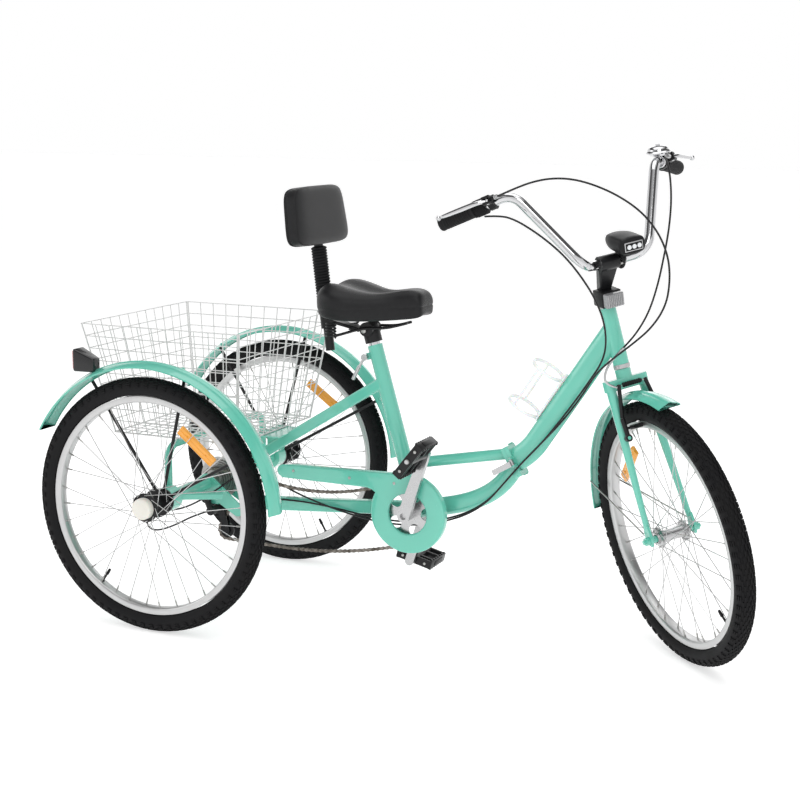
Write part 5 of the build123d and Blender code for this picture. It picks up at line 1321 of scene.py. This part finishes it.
def guard_outline():
    """Points (x, z, depth of the edge) round the disc and the arm, from the bottom bracket."""
    points = []
    for degrees in range(88, -209, -4):
        turn = math.radians(degrees)
        depth = GUARD_SKIRT if degrees > -118 else GUARD_LIP
        points.append((GUARD_RADIUS * math.cos(turn), GUARD_RADIUS * math.sin(turn), depth))
    rear = -GUARD_REACH
    points += [(-92, 50, GUARD_LIP), (-104, 53.5, GUARD_LIP)]
    for i in range(1, 9):
        share = i / 8
        points.append((-104 + (rear + 116) * share, 53.5 + 1.0 * share, GUARD_LIP))
    for degrees in range(-80, 81, 20):
        turn = math.radians(180 - degrees)
        points.append((rear + 14 + 14 * math.cos(turn), 71 + 14 * math.sin(turn), GUARD_LIP))
    for i in range(1, 14):
        share = i / 14
        points.append((rear + 22 + (-rear - 22) * share, 86.5 + 7.5 * share, GUARD_SKIRT))
    return points


def guard_mesh():
    """Pressed sheet with a rounded outer edge, a skirt and a rolled hole, filled between its two borders."""
    rim = guard_outline()
    hole = []
    for i in range(64):
        turn = 2 * math.pi * i / 64
        hole.append((GUARD_HOLE * math.cos(turn), GUARD_HOLE * math.sin(turn), 5.0))
    points, faces, borders = [], [], []
    for loop, outwards in ((rim, 1), (hole, -1)):
        count, first = len(loop), len(points)
        for step in range(5):
            for i, (x, z, depth) in enumerate(loop):
                before, after = loop[i - 1], loop[(i + 1) % count]
                along = Vector((after[0] - before[0], after[1] - before[1])).normalized()
                side = Vector((-along.y, along.x)) if outwards > 0 else Vector((-x, -z)).normalized()
                inset, rise = ((4.0, 0.0), (1.6, 0.4), (0.5, 1.5), (0.0, 3.8), (0.0, depth))[step]
                points.append(at(532 + x - side.x * inset, GUARD_FACE + rise, 278 + z - side.y * inset))
        for step in range(4):
            for i in range(count):
                j = (i + 1) % count
                a, b = first + step * count, first + (step + 1) * count
                faces.append((a + i, a + j, b + j, b + i))
        borders.append(range(first, first + count))
    piece = new_piece("chainguard_sheet", points, faces=faces)
    bpy.ops.object.mode_set(mode="EDIT")
    bpy.ops.mesh.select_mode(type="VERT")
    bpy.ops.mesh.select_all(action="DESELECT")
    bpy.ops.object.mode_set(mode="OBJECT")
    for border in borders:
        for i in border:
            piece.data.vertices[i].select = True
    bpy.ops.object.mode_set(mode="EDIT")
    bpy.ops.mesh.select_mode(type="EDGE")
    bpy.ops.mesh.fill(use_beauty=True)
    bpy.ops.object.mode_set(mode="OBJECT")
    outward(piece)
    modify(piece, "SOLIDIFY", thickness=0.0014, offset=0)
    return piece


class TRICYCLE_OT_chainguard(bpy.types.Operator):
    """Pressed chainguard with its rolled edges and fixing screws"""
    bl_idname = "tricycle.chainguard"
    bl_label = "Chainguard"

    def execute(self, context):
        dress(guard_mesh(), "paint", "rear_frame_body", ["chainguard"], 40)
        screws = [barrel("screw", at(532 + x, GUARD_FACE - 1.8, 278 + z),
                         at(532 + x, GUARD_FACE + 8, 278 + z), 0.0038, 0.0012, 16)
                  for x, z in ((-300, 74), (-150, 72), (-34, 71))]
        standoff = barrel("standoff", at(498, GUARD_FACE + 1, 349), at(486, -18, 349), 0.0040, 0.0008, 14)
        dress(join("chainguard_screws", screws + [standoff]), "zinc", "rear_frame_body")
        return {"FINISHED"}


# ---------------------------------------------------------------- pedals and lamps
PEDALS = (
    # body, node, middle, tilt
    ("right_pedal_body", "right_pedal", (584.4, -138, 434.5), -52),
    ("left_pedal_body", "left_pedal", (483.6, 138, 121.5), 14),
)


def pedal_mesh():
    """Cast cage with toothed rims and three windows round its spindle body."""
    parts = []
    for side in (-1, 1):
        cage, end = Matrix.Translation((side * 0.0440, 0, 0)), Matrix.Translation((0, side * 0.0425, 0))
        parts.append(block("cage", (0.0070, 0.092, 0.022), cage, 0.0018, 2))
        parts.append(block("end", (0.088, 0.0070, 0.021), end, 0.0018, 2))
        for place in (-0.022, 0.016):
            spot = Matrix.Translation((side * 0.026, place, 0))
            parts.append(block("web", (0.036, 0.0075, 0.018), spot, 0.0020, 2))
        for i in range(7):
            for face in (-1, 1):
                spot = Matrix.Translation((side * 0.0440, -0.038 + i * 0.0127, face * 0.0115))
                parts.append(block("tooth", (0.0056, 0.0060, 0.0034), spot, 0.0010, 1))
    core = lathe("core", [(0.0, -0.044), (0.0085, -0.044), (0.0115, -0.040), (0.0105, -0.020), (0.0105, 0.020),
                          (0.0125, 0.040), (0.0125, 0.046), (0.0, 0.046)], 24)
    settle(core)
    return join("pedal", parts + [core])


class TRICYCLE_OT_pedals(bpy.types.Operator):
    """Cage pedals with their screws and reflectors"""
    bl_idname = "tricycle.pedals"
    bl_label = "Pedals"

    def execute(self, context):
        master = pedal_mesh()
        for body, node, middle, tilt in PEDALS:
            place = Matrix.Translation(at(*middle)) @ Matrix.Rotation(math.radians(tilt), 4, "Y")
            dress(copied(master, place, node + "_cage"), "satin", body, [node], 35)
            tiles = [block("tile", (0.0030, 0.046, 0.013), place @ Matrix.Translation((s * 0.0476, 0, 0)),
                           0.0010, 2) for s in (-1, 1)]
            dress(join(node + "_reflectors", tiles), "plastic", body)
            screws = [barrel("screw", place @ Vector((x, s * 0.0455, 0)), place @ Vector((x, s * 0.0480, 0)),
                             0.0036, 0.0008, 12) for x in (-0.030, 0.030) for s in (-1, 1)]
            axle = barrel("spindle", place @ Vector((0, -0.050, 0)), place @ Vector((0, 0.050, 0)),
                          0.0056, 0.001, 16)
            dress(join(node + "_screws", screws + [axle]), "zinc", body)
        bpy.data.objects.remove(master)
        return {"FINISHED"}


class TRICYCLE_OT_lamps(bpy.types.Operator):
    """Tail light on the right fender and the clear reflector under the stem"""
    bl_idname = "tricycle.lamps"
    bl_label = "Lamps"

    def execute(self, context):
        low, high = [Vector(c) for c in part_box("tail_light")]
        size = high - low
        middle = (low + high) / 2
        shell = block("tail_light_shell", tuple(size), Matrix.Translation(middle), 0)
        for vertex in shell.data.vertices:
            front = (vertex.co.x - low.x) / size.x
            vertex.co.y = middle.y + (vertex.co.y - middle.y) * (1 - 0.35 * front)
            if vertex.co.z > middle.z:
                vertex.co.z -= size.z * 0.42 * front
        modify(shell, "BEVEL", width=0.005, segments=4, limit_method="NONE")
        dress(shell, "gloss", "rear_frame_body", ["tail_light"], 50)
        lens = block("tail_light_lens", (0.006, size.y * 0.86, size.z * 0.80),
                     Matrix.Translation((low.x + 0.0005, middle.y, middle.z)), 0.0024, 3)
        dress(lens, "red", "rear_frame_body")
        place, size = turned_box("front_reflector")
        back = block("front_reflector_back", (size.x * 0.7, size.y, size.z),
                     place @ Matrix.Translation((-size.x * 0.10, 0, 0)), 0.0030, 3)
        dress(back, "plastic", "steering", ["front_reflector"])
        tile = block("front_reflector_lens", (size.x * 0.5, size.y * 0.90, size.z * 0.86),
                     place @ Matrix.Translation((size.x * 0.24, 0, 0)), 0.0024, 3)
        dress(tile, "clear", "steering")
        ribs = [block("rib", (size.x * 0.52, size.y * 0.025, size.z * 0.78),
                      place @ Matrix.Translation((size.x * 0.26, size.y * (0.09 * i - 0.36), 0)), 0.0005, 2)
                for i in range(9)]
        dress(join("front_reflector_ribs", ribs), "alloy", "steering")
        return {"FINISHED"}


def turned_box(name):
    """Place and size of a steered node, measured with the bar straight ahead."""
    back = TURN.inverted()
    corners = [back @ (v.co) for v in frame["nodes"][name].data.vertices]
    low = Vector([min(c[i] for c in corners) for i in range(3)])
    high = Vector([max(c[i] for c in corners) for i in range(3)])
    return TURN @ Matrix.Translation((low + high) / 2), high - low


# ---------------------------------------------------------------- carried-over nodes
NODE_FINISHES = {
    "paint": ("rear_frame", "frame_bearings", "front_frame", "fork"),
    "satin": ("rear_fender_stays", "saddle_clamp", "backrest_post", "stem", "bell_lever", "right_brake_arm",
              "left_brake_arm", "derailleur_body", "derailleur_cage"),
    "chrome": ("seat_post", "handlebar"),
    "alloy": ("right_crank", "left_crank", "crank_spindle", "fold_lever", "headset_cups", "seat_clamp_lever"),
    "zinc": ("drive_axle", "freewheel"),
    "plastic": ("brake_lever_mounts",),
    "milky": ("bottle_cage",),
}


class TRICYCLE_OT_finishes(bpy.types.Operator):
    """Materials for the parts that keep the shape they were packed with"""
    bl_idname = "tricycle.finishes"
    bl_label = "Finishes"

    def execute(self, context):
        for material, names in NODE_FINISHES.items():
            for name in names:
                node = frame["nodes"][name]
                node.data.materials.clear()
                node.data.materials.append(MATERIALS[material])
        return {"FINISHED"}


# ---------------------------------------------------------------- stage
class TRICYCLE_OT_stage(bpy.types.Operator):
    """Pale floor, soft studio lights and the camera"""
    bl_idname = "tricycle.stage"
    bl_label = "Stage"

    def execute(self, context):
        deselect()
        bpy.ops.mesh.primitive_plane_add(size=60)
        floor = bpy.context.object
        floor.name = "studio_floor"
        bpy.ops.object.mode_set(mode="EDIT")
        bpy.ops.mesh.subdivide(number_cuts=4)
        bpy.ops.object.mode_set(mode="OBJECT")
        floor.data.materials.append(stage_finish())
        context.scene.view_settings.view_transform = "Standard"
        self.surroundings(context)
        for name, place, size, power in (
                ("key", (1.8, -3.0, 3.6), 2.2, 46), ("side", (-3.6, -1.8, 2.2), 2.4, 22),
                ("back", (-0.6, 3.6, 3.0), 2.6, 26), ("top", (0, 0, 4.4), 3.0, 34)):
            light = bpy.data.lights.new(name, "AREA")
            light.size = size
            light.energy = power
            lamp = bpy.data.objects.new(name, light)
            context.scene.collection.objects.link(lamp)
            aim = Vector((0, 0, 0.5)) - Vector(place)
            lamp.matrix_world = Matrix.Translation(place) @ aim.to_track_quat("-Z", "Y").to_matrix().to_4x4()
        self.camera(context)
        return {"FINISHED"}

    def surroundings(self, context):
        """White studio walls with a darker band overhead for bright metal to mirror."""
        world = bpy.data.worlds.new("studio")
        context.scene.world = world
        world.use_nodes = True
        tree = world.node_tree
        coordinates = tree.nodes.new("ShaderNodeTexCoord")
        split = tree.nodes.new("ShaderNodeSeparateXYZ")
        tree.links.new(coordinates.outputs["Generated"], split.inputs[0])
        band = tree.nodes.new("ShaderNodeValToRGB")
        elements = band.color_ramp.elements
        for place, level in ((0.42, 1.0), (0.55, 0.10), (0.74, 0.10), (0.88, 0.75)):
            element = elements.new(place)
            element.color = (level, level, level, 1)
        elements[0].color = (1, 1, 1, 1)
        elements[len(elements) - 1].color = (0.8, 0.8, 0.8, 1)
        tree.links.new(split.outputs[2], band.inputs[0])
        background = tree.nodes["Background"]
        tree.links.new(band.outputs[0], background.inputs["Color"])
        background.inputs["Strength"].default_value = 1.0

    def camera(self, context):
        data = bpy.data.cameras.new("camera")
        data.sensor_width = 36
        data.lens = 70.30
        camera = bpy.data.objects.new("camera", data)
        context.scene.collection.objects.link(camera)
        place, target = at(1951.8, -3315.8, 1215.6), at(507.95, -54.17, 547.35)
        look = (target - place).to_track_quat("-Z", "Y").to_matrix().to_4x4()
        roll = Matrix.Rotation(math.radians(0.478), 4, "Z")
        camera.matrix_world = Matrix.Translation(place) @ look @ roll
        context.scene.camera = camera


OPERATORS = (
    TRICYCLE_OT_stage, TRICYCLE_OT_finishes, TRICYCLE_OT_wheels, TRICYCLE_OT_fenders, TRICYCLE_OT_basket,
    TRICYCLE_OT_saddle, TRICYCLE_OT_backrest, TRICYCLE_OT_controls, TRICYCLE_OT_cables, TRICYCLE_OT_chain,
    TRICYCLE_OT_chainguard, TRICYCLE_OT_pedals, TRICYCLE_OT_lamps,
)


class TRICYCLE_PT_panel(bpy.types.Panel):
    bl_idname = "TRICYCLE_PT_panel"
    bl_label = "Tricycle"
    bl_space_type = "VIEW_3D"
    bl_region_type = "UI"
    bl_category = "Tricycle"

    def draw(self, context):
        for name in TricycleSettings.__annotations__:
            self.layout.prop(context.scene.tricycle, name)
        for operator in OPERATORS:
            self.layout.operator(operator.bl_idname)


CLASSES = (TricycleSettings, *OPERATORS, TRICYCLE_PT_panel)


def register():
    for item in CLASSES:
        bpy.utils.register_class(item)
    bpy.types.Scene.tricycle = PointerProperty(type=TricycleSettings)


def unregister():
    del bpy.types.Scene.tricycle
    for item in reversed(CLASSES):
        bpy.utils.unregister_class(item)


def main():
    register()
    make_materials()
    for operator in OPERATORS:
        group, name = operator.bl_idname.split(".")
        getattr(getattr(bpy.ops, group), name)()


if __name__ == "__main__":
    main()
